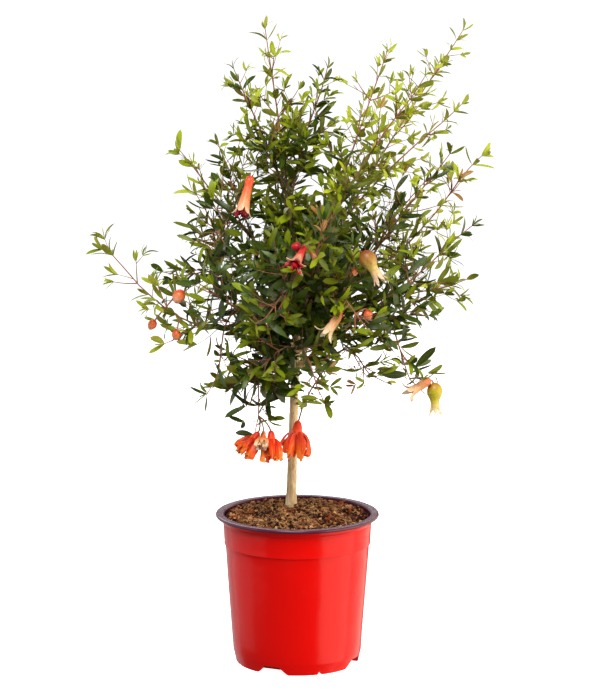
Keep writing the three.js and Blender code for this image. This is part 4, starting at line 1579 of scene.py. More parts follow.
class Crown:
    """Everything that grows on from the boughs' tips."""

    BOUGH_SEED = 9000  # that the draws of the boughs' own sprigs start from
    STALK_SEED = 7000  # and those of the stalks' leaves

    def __init__(self, limbs: Limbs, rule: Growth) -> None:
        """Lays out the stems and the space of each mass.

        Args:
            limbs: the trunk and boughs that it grows on.
            rule: the sizes of its rule.
        """
        self.rule = rule
        self.limbs = limbs
        self.boughs = {bough.name: limbs.bough(bough) for bough in BOUGHS}
        self.stems = [self._stem(mass) for mass in MASSES]
        self.stalks = [self._stalk(bloom) for bloom in BLOOMS]
        self.space = self._space()
        self.shoots: list[Shoot] = []
        self.leaves: list[Leaf] = []

    def _foot(self, mass: Mass) -> Array:
        """Where a mass's stem starts: sister stems stand in a ring on their bough's tip.

        Args:
            mass: the mass.

        Returns:
            The point.
        """
        bough = self.boughs[mass.bough]
        heading = way_of(bough, 1)
        centre = bough(1) + heading * GAP
        sisters = [other for other in MASSES if other.bough == mass.bough]
        if len(sisters) == 1:
            return centre
        first, second = across(heading)

        def bearing(one: Mass) -> float:
            """Which way a mass grows, seen along the bough."""
            way = one.tip - centre
            return math.atan2(way @ second, way @ first)

        ring = sorted(sisters, key=bearing)
        slot = math.tau / len(ring)
        turned = sum(bearing(one) - i * slot for i, one in enumerate(ring)) / len(ring)
        turn = turned + ring.index(mass) * slot
        out = (self.rule.stem_base + GAP) / math.sin(slot / 2)
        return centre + out * (first * math.cos(turn) + second * math.sin(turn))

    def _stem(self, mass: Mass) -> Array:
        """The joints of a mass's stem, which stops short of its tip by the leaf that ends it.

        Args:
            mass: the mass.

        Returns:
            The joints.
        """
        foot, heading = self._foot(mass), way_of(self.boughs[mass.bough], 1)
        way = mass.tip - foot
        way = unit(way) * (np.linalg.norm(way) - self.rule.leaf_length)
        lead = unit(unit(way) + heading)
        middle = foot + lead * np.linalg.norm(way) / 2 + UP * 2 * mass.bow
        curve = bezier(foot, middle, foot + way)
        rings = max(3, round(length_of(sampled(curve, 200)) / self.rule.stem_ring))
        return sampled(curve, rings)

    def _carried_on(self, mass: Mass, joints: Array) -> Array:
        """A stem's joints, carried on to its mass's tip but for the small leaf that ends it."""
        way = unit(mass.tip - joints[-1])
        return np.vstack((joints, mass.tip - way * (self.rule.tip_leaf + mass.short)))

    def _stalk(self, bloom: Bloom) -> Array:
        """The joints of a bloom's stalk, from the nearest part of its stem to the bloom's own axis.

        Args:
            bloom: the bloom.

        Returns:
            The joints.
        """
        places = sampled(straightened(self.stems[owner_of(bloom.mass) - 1]), 20)[3:]
        source = min(places, key=lambda point: float(np.linalg.norm(point - bloom.start)))
        middle = bloom.start - bloom.way * 0.35 * np.linalg.norm(source - bloom.start)
        return sampled(bezier(source, middle, bloom.start + bloom.way * 2), 3)

    def _space(self) -> Space:
        """The lines that the space of each mass is measured from.

        Returns:
            The space.
        """
        limbs = self.limbs
        lines = [(0, sampled(limbs.trunk, 20), limbs.foot_radius)]
        lines += [(0, sampled(self.boughs[bough.name], 20), limbs.bough_base) for bough in BOUGHS]
        for owner, (mass, stem) in enumerate(zip(MASSES, self.stems, strict=True), 1):
            lines.append((owner, stem, 0.0))
            for bloom, stalk in zip(BLOOMS, self.stalks, strict=True):
                if bloom.mass == mass.name:
                    lines.append((owner, stalk, 0.0))
                    axis = np.array((bloom.start, bloom.end))
                    lines.append((owner, axis, bloom.kind.radius * bloom.size))
        return Space(lines)

    def _twigs(self, owner: int, stem: Curve, length: float) -> list[Shoot]:
        """The pairs of twigs along a stem, each pair a quarter turn from the last.

        Args:
            owner: the mass.
            stem: the stem's line.
            length: the stem's length.

        Returns:
            The twigs.
        """
        rule, mass = self.rule, MASSES[owner - 1]
        twigs = []
        nodes = max(rule.twig_nodes, math.floor(rule.twig_last * length / rule.twig_step + 0.5))
        for node in range(1, nodes + 1):
            for side in (0, 1):
                draw = Draws(mass.seed * 1000 + node * 2 + side)
                share = rule.twig_last * node / nodes + 0.02 * (draw() - 0.5)
                roll = node * math.pi / 2 + side * math.pi + 0.7 * (draw() - 0.5)
                wanted = mass.spread * (1 - share) ** 0.6 * draw.within(0.75, 1.15)
                angle = rule.twig_angle + rule.twig_sway * (draw() - 0.5)
                way = branch_off(way_of(stem, share), angle, roll)
                twig = self._tried(owner, stem(share), way, wanted)
                if twig is not None:
                    twig[1] += unit(twig[1] - twig[0]) * rule.twig_reach
                    size = length_of(twig)
                    line = bowed(twig[0], twig[1], rule.twig_bow * size)
                    youth = 0.25 + 0.75 * share
                    twigs.append(Shoot(line, size, 1, owner, youth, draw, *rule.wood[1]))
        return twigs

    def _tried(self, owner: int, start: Array, way: Array, wanted: float) -> Array | None:
        """The ends of a twig at the longest length tried that keeps to its mass's space.

        Args:
            owner: the mass.
            start: the twig's foot.
            way: the unit vector that it leaves along.
            wanted: the length that is tried first.

        Returns:
            Its foot and its tip, or None if no length fits.
        """
        for factor in self.rule.twig_tries:
            length = wanted * factor
            if length < self.rule.twig_min:
                return None
            end = start + way * length + UP * self.rule.twig_rise * length
            checks = np.array([start + (end - start) * at for at in (0.3, 0.55, 0.8, 1)])
            if self.space.clear(checks, owner, self.rule.twig_girth).all():
                return np.array((start, end))
        return None

    def _openness(self, point: Array, owner: int) -> float:
        """How open a mass is at a point: from 0 in the crown's dense middle to 1 at its rim.

        Args:
            point: the point.
            owner: the mass.

        Returns:
            The openness.
        """
        rule = self.rule
        offset = (point - np.array(rule.core)) / np.array(rule.core_size)
        if offset[2] < 0:
            offset[2] /= rule.core_below
        out = (np.linalg.norm(offset) - rule.core_share) / (1 - rule.core_share)
        return float(np.clip(out - MASSES[owner - 1].full, 0, 1))

    def _growth(self, point: Array) -> float:
        """How large the leaves are at a point: larger at the crown's foot than at its top."""
        rule = self.rule
        return float(np.interp(point[2], (rule.low, rule.high), (rule.low_leaves, rule.high_leaves)))

    def _sprigs(self, shoot: Shoot) -> list[Shoot]:
        """Short sprigs along a stem or a twig, singly, each about a third of a turn from the last.

        Args:
            shoot: the stem or twig.

        Returns:
            The sprigs.
        """
        rule = self.rule
        sprigs = []
        turn = shoot.draw() * math.tau
        back = shoot.length * rule.sprig_first[shoot.rank]
        while back < shoot.length * rule.sprig_last:
            share = back / shoot.length
            openness = self._openness(shoot.line(share), shoot.owner)
            turn += 2.2 + shoot.draw()
            back += mix(*rule.sprig_steps[shoot.rank], openness) * shoot.draw.within(0.8, 1.25)
            if shoot.draw() > mix(*rule.sprig_chance, openness):
                continue
            low, high = rule.sprig_length
            length = mix(high, low, share) * mix(rule.inner_sprigs, 1, openness)
            length *= shoot.draw.within(0.6, 1.2)
            angle = shoot.draw.within(*rule.sprig_angle)
            way = branch_off(way_of(shoot.line, share), angle, turn)
            start = shoot.line(share)
            end = start + way * length + UP * rule.sprig_rise * length
            checks = np.array([start + (end - start) * at for at in (0.4, 0.75, 1)])
            reach = mix(*rule.overlap, openness)
            if not self.space.clear(checks, shoot.owner, rule.sprig_girth, reach).all():
                continue
            line = bowed(start, end, shoot.draw.within(-0.06, 0.04) * length)
            youth = mix(shoot.youth, 1.0, 0.25 + 0.4 * share)
            seed = int(shoot.draw() * 2**32)
            sprigs.append(Shoot(line, length, 2, shoot.owner, youth, Draws(seed), *rule.wood[2]))
        return sprigs

    def _bough_sprigs(self) -> list[Shoot]:
        """Sprigs that stand on the boughs and on the trunk between them, and fill the crown's middle.

        Returns:
            The sprigs.
        """
        sprigs = []
        for number, bough in enumerate(BOUGHS):
            owner = next(i for i, mass in enumerate(MASSES, 1) if mass.bough == bough.name)
            line = self.boughs[bough.name]
            for row in range(self.rule.bough_rows):
                draw = Draws(self.BOUGH_SEED + number * 10 + row)
                limb = Shoot(line, length_of(sampled(line, 20)), 0, owner, 0.1, draw, 0, 0, 0)
                sprigs += self._sprigs(limb)
        return sprigs

    def _leaf(
        self, shoot: Shoot, share: float, angle: float, roll: float, length: float, tint: int
    ) -> None:
        """Adds a leaf at a share of a shoot, at an angle off its heading.

        Args:
            shoot: what it grows on.
            share: where along it.
            angle: degrees off its heading.
            roll: radians round it.
            length: the leaf's length.
            tint: its place among the tints.
        """
        rule, draw, heading = self.rule, shoot.draw, way_of(shoot.line, share)
        way = branch_off(heading, angle + rule.leaf_sway * (draw() - 0.5), roll)
        way = unit(way + UP * rule.leaf_lift * max(0.0, -heading[2]))
        root = shoot.line(share) - way * 0.3
        facing = heading * 0.5 + UP * 0.6 + unit(root * (1.0, 1.0, 0.0)) * 0.9
        normal = unit(facing - way * (facing @ way))
        twist = math.radians(rule.leaf_twist) * (draw() + draw() - 1)
        normal = normal * math.cos(twist) + np.cross(way, normal) * math.sin(twist)
        width = draw.within(*rule.leaf_width)
        form = int(draw() * len(BLADES))
        reach = mix(*rule.overlap, self._openness(root, shoot.owner))
        self.leaves.append(Leaf(root, way, normal, length, width, form, tint, shoot.owner, reach))

    def _tint(self, shoot: Shoot) -> int:
        """The green that a spray is dealt, brighter the higher and further out it is: partly younger
        growth, and partly painted light, darker where shade falls in the dense middle and low down.

        Args:
            shoot: the spray's shoot.

        Returns:
            Its place among the tints.
        """
        rule, mass, middle = self.rule, MASSES[shoot.owner - 1], shoot.line(0.5)
        high = max(0.0, (middle[2] - rule.green_foot) / rule.green_rise)
        openness = self._openness(middle, shoot.owner)
        # painted light: the height, rim and tone terms make the greens lighter where light falls and darker
        # where the crown shades them
        by_tone, by_rim, by_height, by_draw = rule.greens
        rim = openness**2 * (0.02 + by_rim * mass.tone)
        bright = 0.05 + by_tone * mass.tone + rim + by_height * high**3 + by_draw * (shoot.draw() - 0.5)
        if shoot.draw() < rule.bronze * openness * mass.tone:
            return BRONZE
        return int(np.clip(bright * BRONZE, 0, BRONZE - 1))

    def _leafed(self, shoot: Shoot, scale: float = 1.0) -> None:
        """A leaf that ends a shoot, then pairs with clusters of small leaves, back to its bare foot.

        Args:
            shoot: the shoot.
            scale: how much larger than elsewhere the pairs are.
        """
        rule, draw = self.rule, shoot.draw
        tint = self._tint(shoot)
        young = min(BRONZE - 1, tint + 1) if tint < BRONZE else BRONZE
        self._leaf(shoot, 1.0, 8, 0, rule.tip_leaf * draw.within(0.7, 1.0), young)
        back = rule.first_pair
        quarter = draw() * math.pi
        while back < shoot.length * (1 - shoot.bare):
            share = 1 - back / shoot.length
            openness = self._openness(shoot.line(share), shoot.owner)
            growth = self._growth(shoot.line(share)) * MASSES[shoot.owner - 1].leaf
            grown = min(1.0, back / rule.grown)
            size = mix(*rule.leaf_size, openness) * growth * scale
            size *= draw.within(0.75, 1.15) * mix(rule.young_size, 1, grown)
            angle = mix(*rule.pair_angle, grown)
            shade = young if back < rule.young else tint
            for side in (0, math.pi):
                if draw() < rule.pair_chance:
                    roll = quarter + side + 0.5 * (draw() - 0.5)
                    self._leaf(shoot, share, angle, roll, size * draw.within(0.85, 1.1), shade)
            for _ in range(int(draw() * mix(*rule.cluster, openness))):
                small = size * draw.within(*rule.cluster_size)
                self._leaf(shoot, share, draw.within(20, 50), draw() * math.tau, small, shade)
            quarter += math.pi / 2
            back += mix(*rule.node_steps[shoot.rank], openness) * growth**1.7 * draw.within(0.8, 1.2)

    def _window(self, bloom: Bloom) -> tuple[int, Array, float]:
        """The line in front of a bloom that leaves keep clear of.

        Args:
            bloom: the bloom.

        Returns:
            The line as Space takes it, with its own girth.
        """
        middle = (bloom.start + bloom.end) / 2
        way = unit(middle * (0.35, 1.0, 0.0)) + UP * 0.15
        start = middle + way * bloom.kind.radius
        girth = bloom.kind.radius * bloom.size * 1.1 + 1.5
        return 0, np.array((start, start + way * self.rule.window)), girth

    def _thinned(self) -> None:
        """Drops the leaves that would touch a limb or a bloom or stand too far in another space."""
        leaves = self.leaves
        roots = np.array([leaf.root for leaf in leaves])
        spans = np.array([leaf.way * leaf.length for leaf in leaves])
        owners = np.array([leaf.owner for leaf in leaves])
        reach = np.array([leaf.reach for leaf in leaves])
        keep = np.ones(len(leaves), bool)
        blooms = Space([(0, np.array((b.start, b.end)), b.kind.radius * b.size * 0.9) for b in BLOOMS])
        windows = Space([self._window(bloom) for bloom in BLOOMS])
        for share in (0.55, 1.0):
            points = roots + spans * share
            away = self.space.distances(points)
            own = away[np.arange(len(points)), owners]
            away[np.arange(len(points)), owners] = np.inf
            keep &= away[:, 0] >= self.space.LIMB_CLEARANCE
            keep &= away[:, 1:].min(1) >= own - reach
            keep &= blooms.distances(points)[:, 0] >= 1.0
            keep &= windows.distances(points)[:, 0] >= 0.0
        self.leaves = [leaf for leaf, kept in zip(leaves, keep, strict=True) if kept]

    def grow(self) -> None:
        """Grows every mass: its stem, its twigs, their sprigs, and the leaves on all of them."""
        for owner, (mass, joints) in enumerate(zip(MASSES, self.stems, strict=True), 1):
            twigs = self._twigs(owner, straightened(joints), length_of(joints))
            whole = self._carried_on(mass, joints)
            line, length = straightened(whole), length_of(whole)
            stem = Shoot(line, length, 0, owner, 0.5, Draws(mass.seed), *self.rule.wood[0])
            sprigs = [sprig for shoot in (stem, *twigs) for sprig in self._sprigs(shoot)]
            for shoot in (stem, *twigs, *sprigs):
                self.shoots.append(shoot)
                self._leafed(shoot)
        for sprig in self._bough_sprigs():
            self.shoots.append(sprig)
            self._leafed(sprig)
        for number, (bloom, stalk) in enumerate(zip(BLOOMS, self.stalks, strict=True)):
            line, draw = straightened(stalk), Draws(self.STALK_SEED + number)
            shoot = Shoot(line, length_of(stalk), 2, owner_of(bloom.mass), 0.4, draw, 0, 0, 0.1)
            self._leafed(shoot, 0.7)
        self._thinned()
        log.info("the crown has %d shoots and %d leaves", len(self.shoots), len(self.leaves))

    def wood(self) -> None:
        """Models the shoots' wood: pale bark where it is old, and reddish skin where it is young."""
        old, young = Copies(), Copies()
        rings = (7, 4, 3)  # by rank
        tubes = [tube_template(sides, lengths) for sides, lengths in zip((7, 6, 5), rings, strict=True)]
        for shoot in self.shoots:
            spans = ((0.0, 0.45, old), (0.45, 1.0, young)) if shoot.rank == 0 else ((0.0, 1.0, None),)
            for low, high, copies in spans:
                shares = np.linspace(low, high, rings[shoot.rank] + 1)
                joints = np.array([shoot.line(share) for share in shares])
                radii = shoot.base + (shoot.tip - shoot.base) * shares
                chosen = copies or (old if shoot.youth < 0.5 else young)
                chosen.add(tubes[shoot.rank], carried(tubes[shoot.rank], joints, radii))
        for bloom, stalk in zip(BLOOMS, self.stalks, strict=True):
            joints = sampled(straightened(stalk), rings[1])
            copies = young if bloom.kind is Kind.BUD else old
            copies.add(tubes[1], carried(tubes[1], joints, np.full(len(joints), self.rule.stalk)))
        masses = [mass.name for mass in MASSES]
        dressed("twigs_old", old.mesh("twigs_old", crease=60), [OLD_TWIG.made()], masses)
        dressed("twigs_young", young.mesh("twigs_young", crease=60), [YOUNG_TWIG.made()], masses)

    def foliage(self) -> None:
        """Models the leaves, each tint in a piece of its own."""
        templates = [blade.template() for blade in BLADES]
        masses = [mass.name for mass in MASSES]
        for index, tint in enumerate(Tint):
            copies = Copies()
            for form, template in enumerate(templates):
                for leaf in self.leaves:
                    if leaf.tint == index and leaf.form == form:
                        side = np.cross(leaf.normal, leaf.way) * leaf.width
                        turned = template.points @ np.array((leaf.way, side, leaf.normal))
                        copies.add(template, turned * leaf.length + leaf.root)
            name = f"leaves_{tint.name.lower()}"
            upper, sunned, under = tint.value
            finishes = [
                Blade(f"{name}_upper", upper, sunned, under, 0.38, tint.sheen).made(),
                Blade(f"{name}_under", under, under, sunned, 0.55, 0.3).made(),
            ]
            dressed(name, copies.mesh(name, crease=50), finishes, masses)


@dataclass(frozen=True)
class BladeForm:
    """One form of leaf, with its sizes as shares of its length."""

    width: float = 0.25
    fold: float = 0.2  # rise of the margins over half the width
    droop: float = 0.1  # how far the tip bends down
    sickle: float = 0.0  # how far the middle stands to one side
    twist: float = 0.0  # degrees from root to tip
    thick: float = 0.007

    def template(self) -> Template:
        """Shapes a four-sided ball into a folded, pointed blade with a flat, closed edge.

        Returns:
            The template: its root at the origin, its length of 1 along +X and its upper side up.
        """
        bm = bmesh.new()
        bmesh.ops.create_uvsphere(bm, u_segments=4, v_segments=6, radius=1.0)
        under = set()
        edges = []
        for vert in bm.verts:
            x, y, z = vert.co
            share = math.acos(max(-1.0, min(1.0, -z))) / math.pi
            at_end = not 0.01 < share < 0.99
            half = 0 if at_end else self.width / 2 * math.sin(math.pi * share**1.15) ** 0.55
            out = lift = 0.0
            if abs(x) > abs(y) and half:
                out = math.copysign(half, x)
                lift = self.fold * half
                edges.append(vert.index)
            elif half:
                lift = math.copysign(self.thick, y)
                if y < 0:
                    under.add(vert)
            turn = math.radians(self.twist) * share
            side = out * math.cos(turn) - lift * math.sin(turn)
            rise = out * math.sin(turn) + lift * math.cos(turn)
            arch = math.sin(math.pi * share)
            bend = self.droop * (0.35 * arch - share**2)
            vert.co = Vector((share, side + self.sickle * arch, rise + bend))
        bmesh.ops.recalc_face_normals(bm, faces=bm.faces[:])
        for face in bm.faces:
            face.material_index = int(any(vert in under for vert in face.verts))
        return Template.of(bm, [float(index in edges) for index in range(len(bm.verts))])


BLADES = (
    BladeForm(),
    BladeForm(width=0.22, fold=0.25, droop=0.22, sickle=0.02),
    BladeForm(width=0.27, fold=0.15, droop=0.04, sickle=0.04),
    BladeForm(width=0.2, fold=0.3, droop=-0.1, sickle=-0.05),
    BladeForm(width=0.29, fold=0.1, droop=0.14, twist=20),
    BladeForm(width=0.21, fold=0.2, droop=0.32, twist=-25),
    BladeForm(width=0.25, fold=0.35, droop=0.08, sickle=0.06, twist=12),
    BladeForm(width=0.26, fold=0.2, droop=-0.04, twist=-15),
)


# ---------------------------------------------------------------- blossom and fruit


@dataclass(frozen=True)
class Bell:
    """A thick wall turned about +Z, which parts into pointed lobes that bend out."""

    profile: Profile
    lobes: int
    lobe: float  # length of a lobe
    flare: float  # degrees that a lobe bends out by
    wall: float = 0.9
    crumple: float = 0.3
    steps: int = 8  # facets round a lobe
    rings: int = 22

    def build(self) -> bmesh.types.BMesh:
        """Shapes an open cylinder into the bell.

        Returns:
            The bell.
        """
        bm = bmesh.new()
        segments = self.lobes * self.steps
        bmesh.ops.create_cone(bm, cap_ends=False, segments=segments, radius1=1, radius2=1, depth=1)
        upright = [edge for edge in bm.edges if abs(edge.verts[0].co.z - edge.verts[1].co.z) > 0.5]
        bmesh.ops.subdivide_edges(bm, edges=upright, cuts=self.rings - 1, use_grid_fill=True)
        along, radii = zip(*self.profile, strict=True)
        mouth = along[-1]
        for vert in bm.verts:
            turn = math.atan2(vert.co.y, vert.co.x)
            part = (turn / math.tau * self.lobes) % 1.0
            lobe = int(turn / math.tau * self.lobes // 1)
            reach = self.lobe * (1 - abs(2 * part - 1)) ** 0.75 * (1 + 0.16 * math.sin(lobe * 2.3))
            run = (vert.co.z + 0.5) * (mouth + reach)
            over = max(0.0, run - mouth)
            bend = math.radians(self.flare * (1 + 0.4 * math.sin(lobe * 4.1 + 1))) * over / self.lobe
            radius = float(np.interp(run, along, radii)) + over * math.sin(bend)
            rough = noise.noise(Vector((math.cos(turn) * 2, math.sin(turn) * 2, run / 6)))
            radius += self.crumple * rough * min(1.0, run / 8)
            height = min(run, mouth) + over * math.cos(bend)
            vert.co = Vector((radius * math.cos(turn), radius * math.sin(turn), height))
        bmesh.ops.recalc_face_normals(bm, faces=bm.faces[:])
        bmesh.ops.solidify(bm, geom=bm.faces[:], thickness=self.wall)
        return bm


@dataclass(frozen=True)
class Petals:
    """A ring of crumpled petals that unfold out of a bell's mouth."""

    count: int
    length: float
    width: float
    start: Pair  # radius and height of their feet
    lean: Pair  # degrees that they lean out by, at the foot and at the tip
    ruffle: float
    seed: float
    thick: float = 0.3
    cells: tuple[int, int] = (7, 9)  # across and along a petal

    def build(self) -> bmesh.types.BMesh:
        """Shapes a grid into each petal.

        Returns:
            The petals.
        """
        columns, rows = self.cells
        bm = bmesh.new()
        for petal in range(self.count):
            made = bmesh.ops.create_grid(bm, x_segments=columns, y_segments=rows, size=1.0)["verts"]
            turn = (petal + 0.5) / self.count * math.tau
            stretch = 1 + 0.14 * math.sin(petal * 2.7 + self.seed)
            for vert in made:
                share, aside = (vert.co.y + 1) / 2, vert.co.x
                wide = self.width * (0.3 + 0.7 * math.sin(math.pi * min(1, share * 0.62 + 0.08)))
                wide *= 1 - 0.4 * max(0.0, share - 0.7) / 0.3 * abs(aside)
                seed = Vector((petal * 7.3 + self.seed, aside * 2.1, share * 3.1))
                waves = noise.noise(seed) * 1.4 + 0.5 * math.sin(7 * aside + petal)
                ruffle = self.ruffle * share * waves
                lean = math.radians(self.lean[0] + (self.lean[1] - self.lean[0]) * share / 2)
                run = share * self.length * stretch * (1 - 0.12 * aside * aside)
                out = run * math.sin(lean) + ruffle * math.cos(lean)
                high = run * math.cos(lean) - ruffle * math.sin(lean)
                cup = 0.25 * wide * aside**2
                vert.co = Vector((self.start[0] + out - cup, aside * wide / 2, self.start[1] + high))
            spin = Matrix.Rotation(turn, 3, "Z")
            bmesh.ops.rotate(bm, verts=made, cent=(0, 0, 0), matrix=spin)
        bmesh.ops.recalc_face_normals(bm, faces=bm.faces[:])
        bmesh.ops.solidify(bm, geom=bm.faces[:], thickness=self.thick)
        return bm


@dataclass(frozen=True)
class Stamens:
    """A tuft of fine filaments with a grain at each tip."""

    count: int
    reach: Pair  # from where along the axis, to where
    spread: float
    seed: int
    filament: Pair = (0.22, 0.16)  # its radius at its foot and at its tip
    grain: float = 0.62

    def build(self) -> bmesh.types.BMesh:
        """Stands the filaments in a spiral that opens towards the mouth.

        Returns:
            The stamens.
        """
        draw = Draws(self.seed)
        foot_radius, tip_radius = self.filament
        bm = bmesh.new()
        for i in range(self.count):
            turn = i * 2.4
            out = self.spread * math.sqrt((i + 0.5) / self.count)
            tip = Vector((out * math.cos(turn), out * math.sin(turn), self.reach[1] * draw.within(0.86, 1)))
            foot = Vector((tip.x * 0.3, tip.y * 0.3, self.reach[0]))
            lie = Vector((0, 0, 1)).rotation_difference(tip - foot).to_matrix()
            span = (tip - foot).length
            stalk = bmesh.ops.create_cone(
                bm, cap_ends=True, segments=3, radius1=foot_radius, radius2=tip_radius, depth=span
            )["verts"]
            bmesh.ops.rotate(bm, verts=stalk, cent=(0, 0, 0), matrix=lie)
            bmesh.ops.translate(bm, verts=stalk, vec=(tip + foot) / 2)
            grain = bmesh.ops.create_icosphere(bm, subdivisions=1, radius=self.grain)["verts"]
            bmesh.ops.translate(bm, verts=grain, vec=tip)
        return bm


@dataclass(frozen=True)
class PetalRing:
    """One ring of an open flower's petals."""

    lean: Pair  # as in Petals
    length: float
    width: float
    seed: float
    piece: str  # the piece that they are joined in


@dataclass
class Blossom:
    """The flowers, fruits, spent flowers and buds, each kind joined in pieces of its own."""

    # sections of the bells: heights and radii
    tube: Profile = (
        (0, 1.6), (2, 3.9), (5, 4.7), (8, 4.5), (12, 3.9), (16, 4.0), (24, 4.8), (32, 5.8), (39, 7.0)
    )
    throat: Profile = ((0, 1.4), (2, 3.2), (6, 4.4), (11, 5.0), (14, 6.0))
    dried: Profile = ((0, 1.6), (3, 3.8), (8, 4.6), (18, 4.4), (27, 5.8))
    fruit: Profile = (
        (0, 2), (1.2, 5), (4, 7.6), (8, 9.1), (12, 9.2), (16, 7.8), (20, 5.8), (25, 4.6), (31, 5.2)
    )
    bud: Pair = (5.2, 12.6)  # greatest radius, and length
    ruff: tuple[PetalRing, ...] = (
        PetalRing((68, -16), 30, 8, 0.0, "flower_ruffs"),
        PetalRing((50, -16), 32, 8, 4.0, "flower_hearts"),
        PetalRing((32, -6), 31, 9, 8.0, "flower_ruffs"),
        PetalRing((12, 4), 26, 9, 12.0, "flower_hearts"),
    )
    gathered: dict[str, Copies] = field(default_factory=dict)

    def _put(self, bm: bmesh.types.BMesh, bloom: Bloom, piece: str) -> None:
        """Turns a part, modelled about +Z, to its bloom's place and gathers it for a piece.

        Args:
            bm: the part.
            bloom: its bloom.
            piece: the piece's name.
        """
        heights = [vert.co.z for vert in bm.verts]
        low, high = min(heights), max(heights)
        template = Template.of(bm, [(height - low) / (high - low) for height in heights])
        lie = np.array(Vector((0, 0, 1)).rotation_difference(Vector(bloom.way)).to_matrix())
        points = template.points * bloom.size @ lie.T + bloom.start
        self.gathered.setdefault(piece, Copies()).add(template, points)

    def _tube(self, bloom: Bloom) -> None:
        """A long waxy calyx with its petals crumpled in its mouth.

        Args:
            bloom: the flower.
        """
        bell = Bell(self.tube, 6, 11 + bloom.flare / 14, 34 + bloom.flare)
        self._put(bell.build(), bloom, "flower_blushes" if bloom.ripe else "flower_calyces")
        lean = (4 + bloom.flare / 3, 20 + bloom.flare)
        petals = "flower_petals" if bloom.ripe else "flower_wines"
        self._put(Petals(6, 16, 9, (4.0, 35), lean, 2.6, bloom.spot[0]).build(), bloom, petals)
        self._put(Petals(5, 14, 8, (1.8, 35), (2, 14), 2.2, bloom.spot[2]).build(), bloom, petals)
        self._put(Stamens(16, (28, 42), 3, 3).build(), bloom, "flower_stamens")

    def _open(self, bloom: Bloom) -> None:
        """A short calyx over a hanging bunch of long ruffled petals.

        Args:
            bloom: the flower.
        """
        self._put(Bell(self.throat, 6, 8, 34).build(), bloom, "flower_throats")
        for ring in self.ruff:
            seed = ring.seed + bloom.spot[1]
            petals = Petals(5, ring.length, ring.width, (3.4, 10), ring.lean, 4.0, seed)
            self._put(petals.build(), bloom, ring.piece)
        self._put(Stamens(24, (14, 32), 5, 9).build(), bloom, "flower_stamens")

    def _spent(self, bloom: Bloom) -> None:
        """A dried tube with long spreading teeth.

        Args:
            bloom: the spent flower.
        """
        bell = Bell(self.dried, 5, 14, 46 + bloom.flare, crumple=0.9)
        self._put(bell.build(), bloom, "flower_creams" if bloom.flare else "spent_flowers")
        if bloom.flare:
            self._put(Petals(7, 28, 11, (3.5, 10), (58, -14), 4.0, 2.0).build(), bloom, "flower_creams")
            self._put(Petals(5, 27, 11, (2.5, 12), (26, 0), 4.0, 9.0).build(), bloom, "flower_creams")
        else:
            self._put(Stamens(12, (20, 32), 4, 5).build(), bloom, "flower_stamens")

    def _fruit(self, bloom: Bloom) -> None:
        """A young fruit shaped like a pear, whose neck ends in a crown of teeth.

        Args:
            bloom: the fruit.
        """
        bell = Bell(self.fruit, 6, 12, 20, crumple=0.5)
        self._put(bell.build(), bloom, "fruits_amber" if bloom.ripe else "fruits_olive")
        self._put(Stamens(16, (26, 36), 3.4, 8).build(), bloom, "flower_stamens")

    def _bud(self, bloom: Bloom) -> None:
        """A closed round bud with a short point.

        Args:
            bloom: the bud.
        """
        radius, length = self.bud
        bm = bmesh.new()
        bmesh.ops.create_uvsphere(bm, u_segments=18, v_segments=14, radius=1.0)
        for vert in bm.verts:
            share = (vert.co.z + 1) / 2
            turn = math.atan2(vert.co.y, vert.co.x)
            point = 1 - 0.25 * max(0.0, share - 0.55) / 0.45
            out = radius * point * (1 + 0.05 * math.cos(6 * turn) * share)
            vert.co = Vector((vert.co.x * out, vert.co.y * out, share * length))
        self._put(bm, bloom, "flower_petals" if bloom.ripe else "buds")

    def build(self) -> None:
        """Models every bloom and joins them, each kind apart."""
        makers = {
            Kind.TUBE: self._tube,
            Kind.OPEN: self._open,
            Kind.SPENT: self._spent,
            Kind.FRUIT: self._fruit,
            Kind.BUD: self._bud,
        }
        for bloom in BLOOMS:
            makers[bloom.kind](bloom)
        finishes: dict[str, Skin | Graded] = {
            "flower_calyces": CORAL,
            "flower_blushes": BLUSH,
            "flower_petals": CRIMSON,
            "flower_wines": WINE,
            "flower_throats": VERMILION,
            "flower_ruffs": VERMILION,
            "flower_hearts": FLAME,
            "flower_creams": CREAM,
            "flower_stamens": ANTHER,
            "spent_flowers": STRAW,
            "fruits_amber": AMBER,
            "fruits_olive": OLIVE,
            "buds": BUD,
        }
        for name, copies in self.gathered.items():
            dressed(name, copies.mesh(name, crease=45), [finishes[name].made()])


# ---------------------------------------------------------------- studio


@dataclass(frozen=True)
class Softbox:
    """A rectangular area light that faces a point on the tree."""

    name: str
    place: Triple
    aim: Triple
    size: Pair
    power: float
    colour: str = "ffffff"
    roll: float = 0.0  # degrees that it is turned by about the way that it faces

    def hang(self) -> None:
        """Puts the light in the scene."""
        light = bpy.data.lights.new(self.name, "AREA")
        light.shape = "RECTANGLE"
        light.size, light.size_y = self.size
        light.energy = self.power
        light.color = linear(self.colour)[:3]
        holder = bpy.data.objects.new(self.name, light)
        holder.location = self.place
        way = Vector(self.aim) - Vector(self.place)
        rolled = Matrix.Rotation(math.radians(self.roll), 3, "Z")
        holder.rotation_euler = (way.to_track_quat("-Z", "Y").to_matrix() @ rolled).to_euler()
        bpy.context.scene.collection.objects.link(holder)


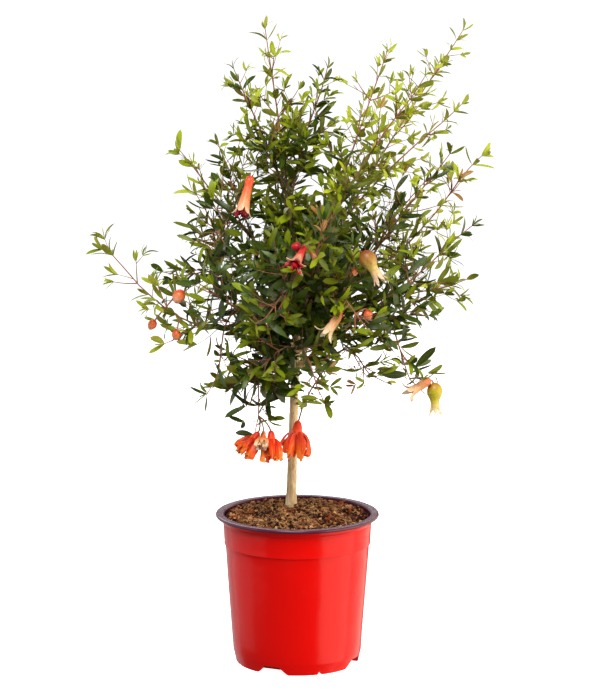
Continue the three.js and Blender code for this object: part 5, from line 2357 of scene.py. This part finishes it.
@dataclass(frozen=True)
class Studio:
    """A pale floor, soft light and the camera, in metres."""

    camera_place: Triple = (0.0, -3.0, 0.873)
    camera_pitch: float = 9.56
    lens: float = 135.77
    shift: float = 2.7 / 700
    sensor: float = 36.0
    clip_end: float = 200.0
    floor_size: float = 60.0
    floor_glow: float = 0.95
    world: float = 0.2
    boxes: tuple[Softbox, ...] = (
        Softbox("front_softbox", (-0.2, -1.4, 2.04), (0, 0, 0.35), (1.2, 1.2), 46),
        Softbox("right_softbox", (1.76, -0.71, 0.2), (0, 0, 0.2), (2.2, 3.2), 56, "fff0dc"),
        Softbox("far_right_softbox", (1.53, 1.12, 0.2), (0, 0, 0.2), (1.9, 3.2), 24, "fff0dc"),
        Softbox("left_softbox", (-1.86, 0.6, 0.44), (0, 0.6, 0.44), (1.9, 2.4), 10),
        Softbox("left_upper_softbox", (-1.86, -1.053, 0.16), (0, -1.053, 0.16), (1.165, 1.6), 4, roll=-9.2),
        Softbox("far_left_softbox", (-1.2, 1.6, 0.2), (0, 0, 0.2), (1.4, 2.8), 6),
        Softbox("back_softbox", (-0.3, 1.9, 1.5), (0, 0, 0.4), (1.6, 1.2), 20),
    )

    def _floor(self) -> None:
        """Lays the floor, which isn't part of the object."""
        bm = bmesh.new()
        bmesh.ops.create_grid(bm, x_segments=1, y_segments=1, size=self.floor_size / 2)
        mesh = bpy.data.meshes.new("floor")
        bm.to_mesh(mesh)
        bm.free()
        recipe = Recipe("floor_white", Specular_IOR_Level=0.1, Emission_Strength=self.floor_glow)
        recipe.shader.inputs["Emission Color"].default_value = linear("ffffff")
        shade = recipe.noise(400, detail=2)
        recipe.feed("Base Color", recipe.mixed(shade, linear("f6f6f6"), linear("f8f8f8")))
        recipe.shader.inputs["Roughness"].default_value = 0.8
        mesh.materials.append(recipe.material)
        floor = bpy.data.objects.new("floor", mesh)
        bpy.context.scene.collection.objects.link(floor)
        floor.visible_diffuse = False
        floor.visible_glossy = False
        floor.visible_shadow = False

    def _camera(self) -> None:
        """Stands the camera in front of the tree, looking a little down at it."""
        camera = bpy.data.cameras.new("camera")
        camera.lens = self.lens
        camera.sensor_width = self.sensor
        camera.shift_x = self.shift
        camera.clip_end = self.clip_end
        holder = bpy.data.objects.new("camera", camera)
        holder.location = self.camera_place
        holder.rotation_euler = (math.radians(90 - self.camera_pitch), 0, 0)
        bpy.context.scene.collection.objects.link(holder)
        bpy.context.scene.camera = holder

    def _world(self) -> None:
        """Fills the studio with even white light."""
        world = bpy.data.worlds.new("studio_white")
        world.use_nodes = True
        background = world.node_tree.nodes["Background"]
        background.inputs["Color"].default_value = linear("ffffff")
        background.inputs["Strength"].default_value = self.world
        bpy.context.scene.world = world

    def set_up(self) -> None:
        """Makes the floor, the lights and the camera."""
        self._floor()
        self._world()
        self._camera()
        for box in self.boxes:
            box.hang()
        bpy.context.scene.view_settings.view_transform = "Standard"


def main() -> None:
    """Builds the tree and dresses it."""
    logging.basicConfig(level=logging.INFO, format="%(name)s: %(message)s")
    Studio().set_up()
    pot = NurseryPot()
    pot.build()
    PottingSoil(pot).build()
    limbs = Limbs()
    limbs.build()
    crown = Crown(limbs, Growth())
    crown.grow()
    crown.wood()
    crown.foliage()
    Blossom().build()


if __name__ == "__main__":
    main()
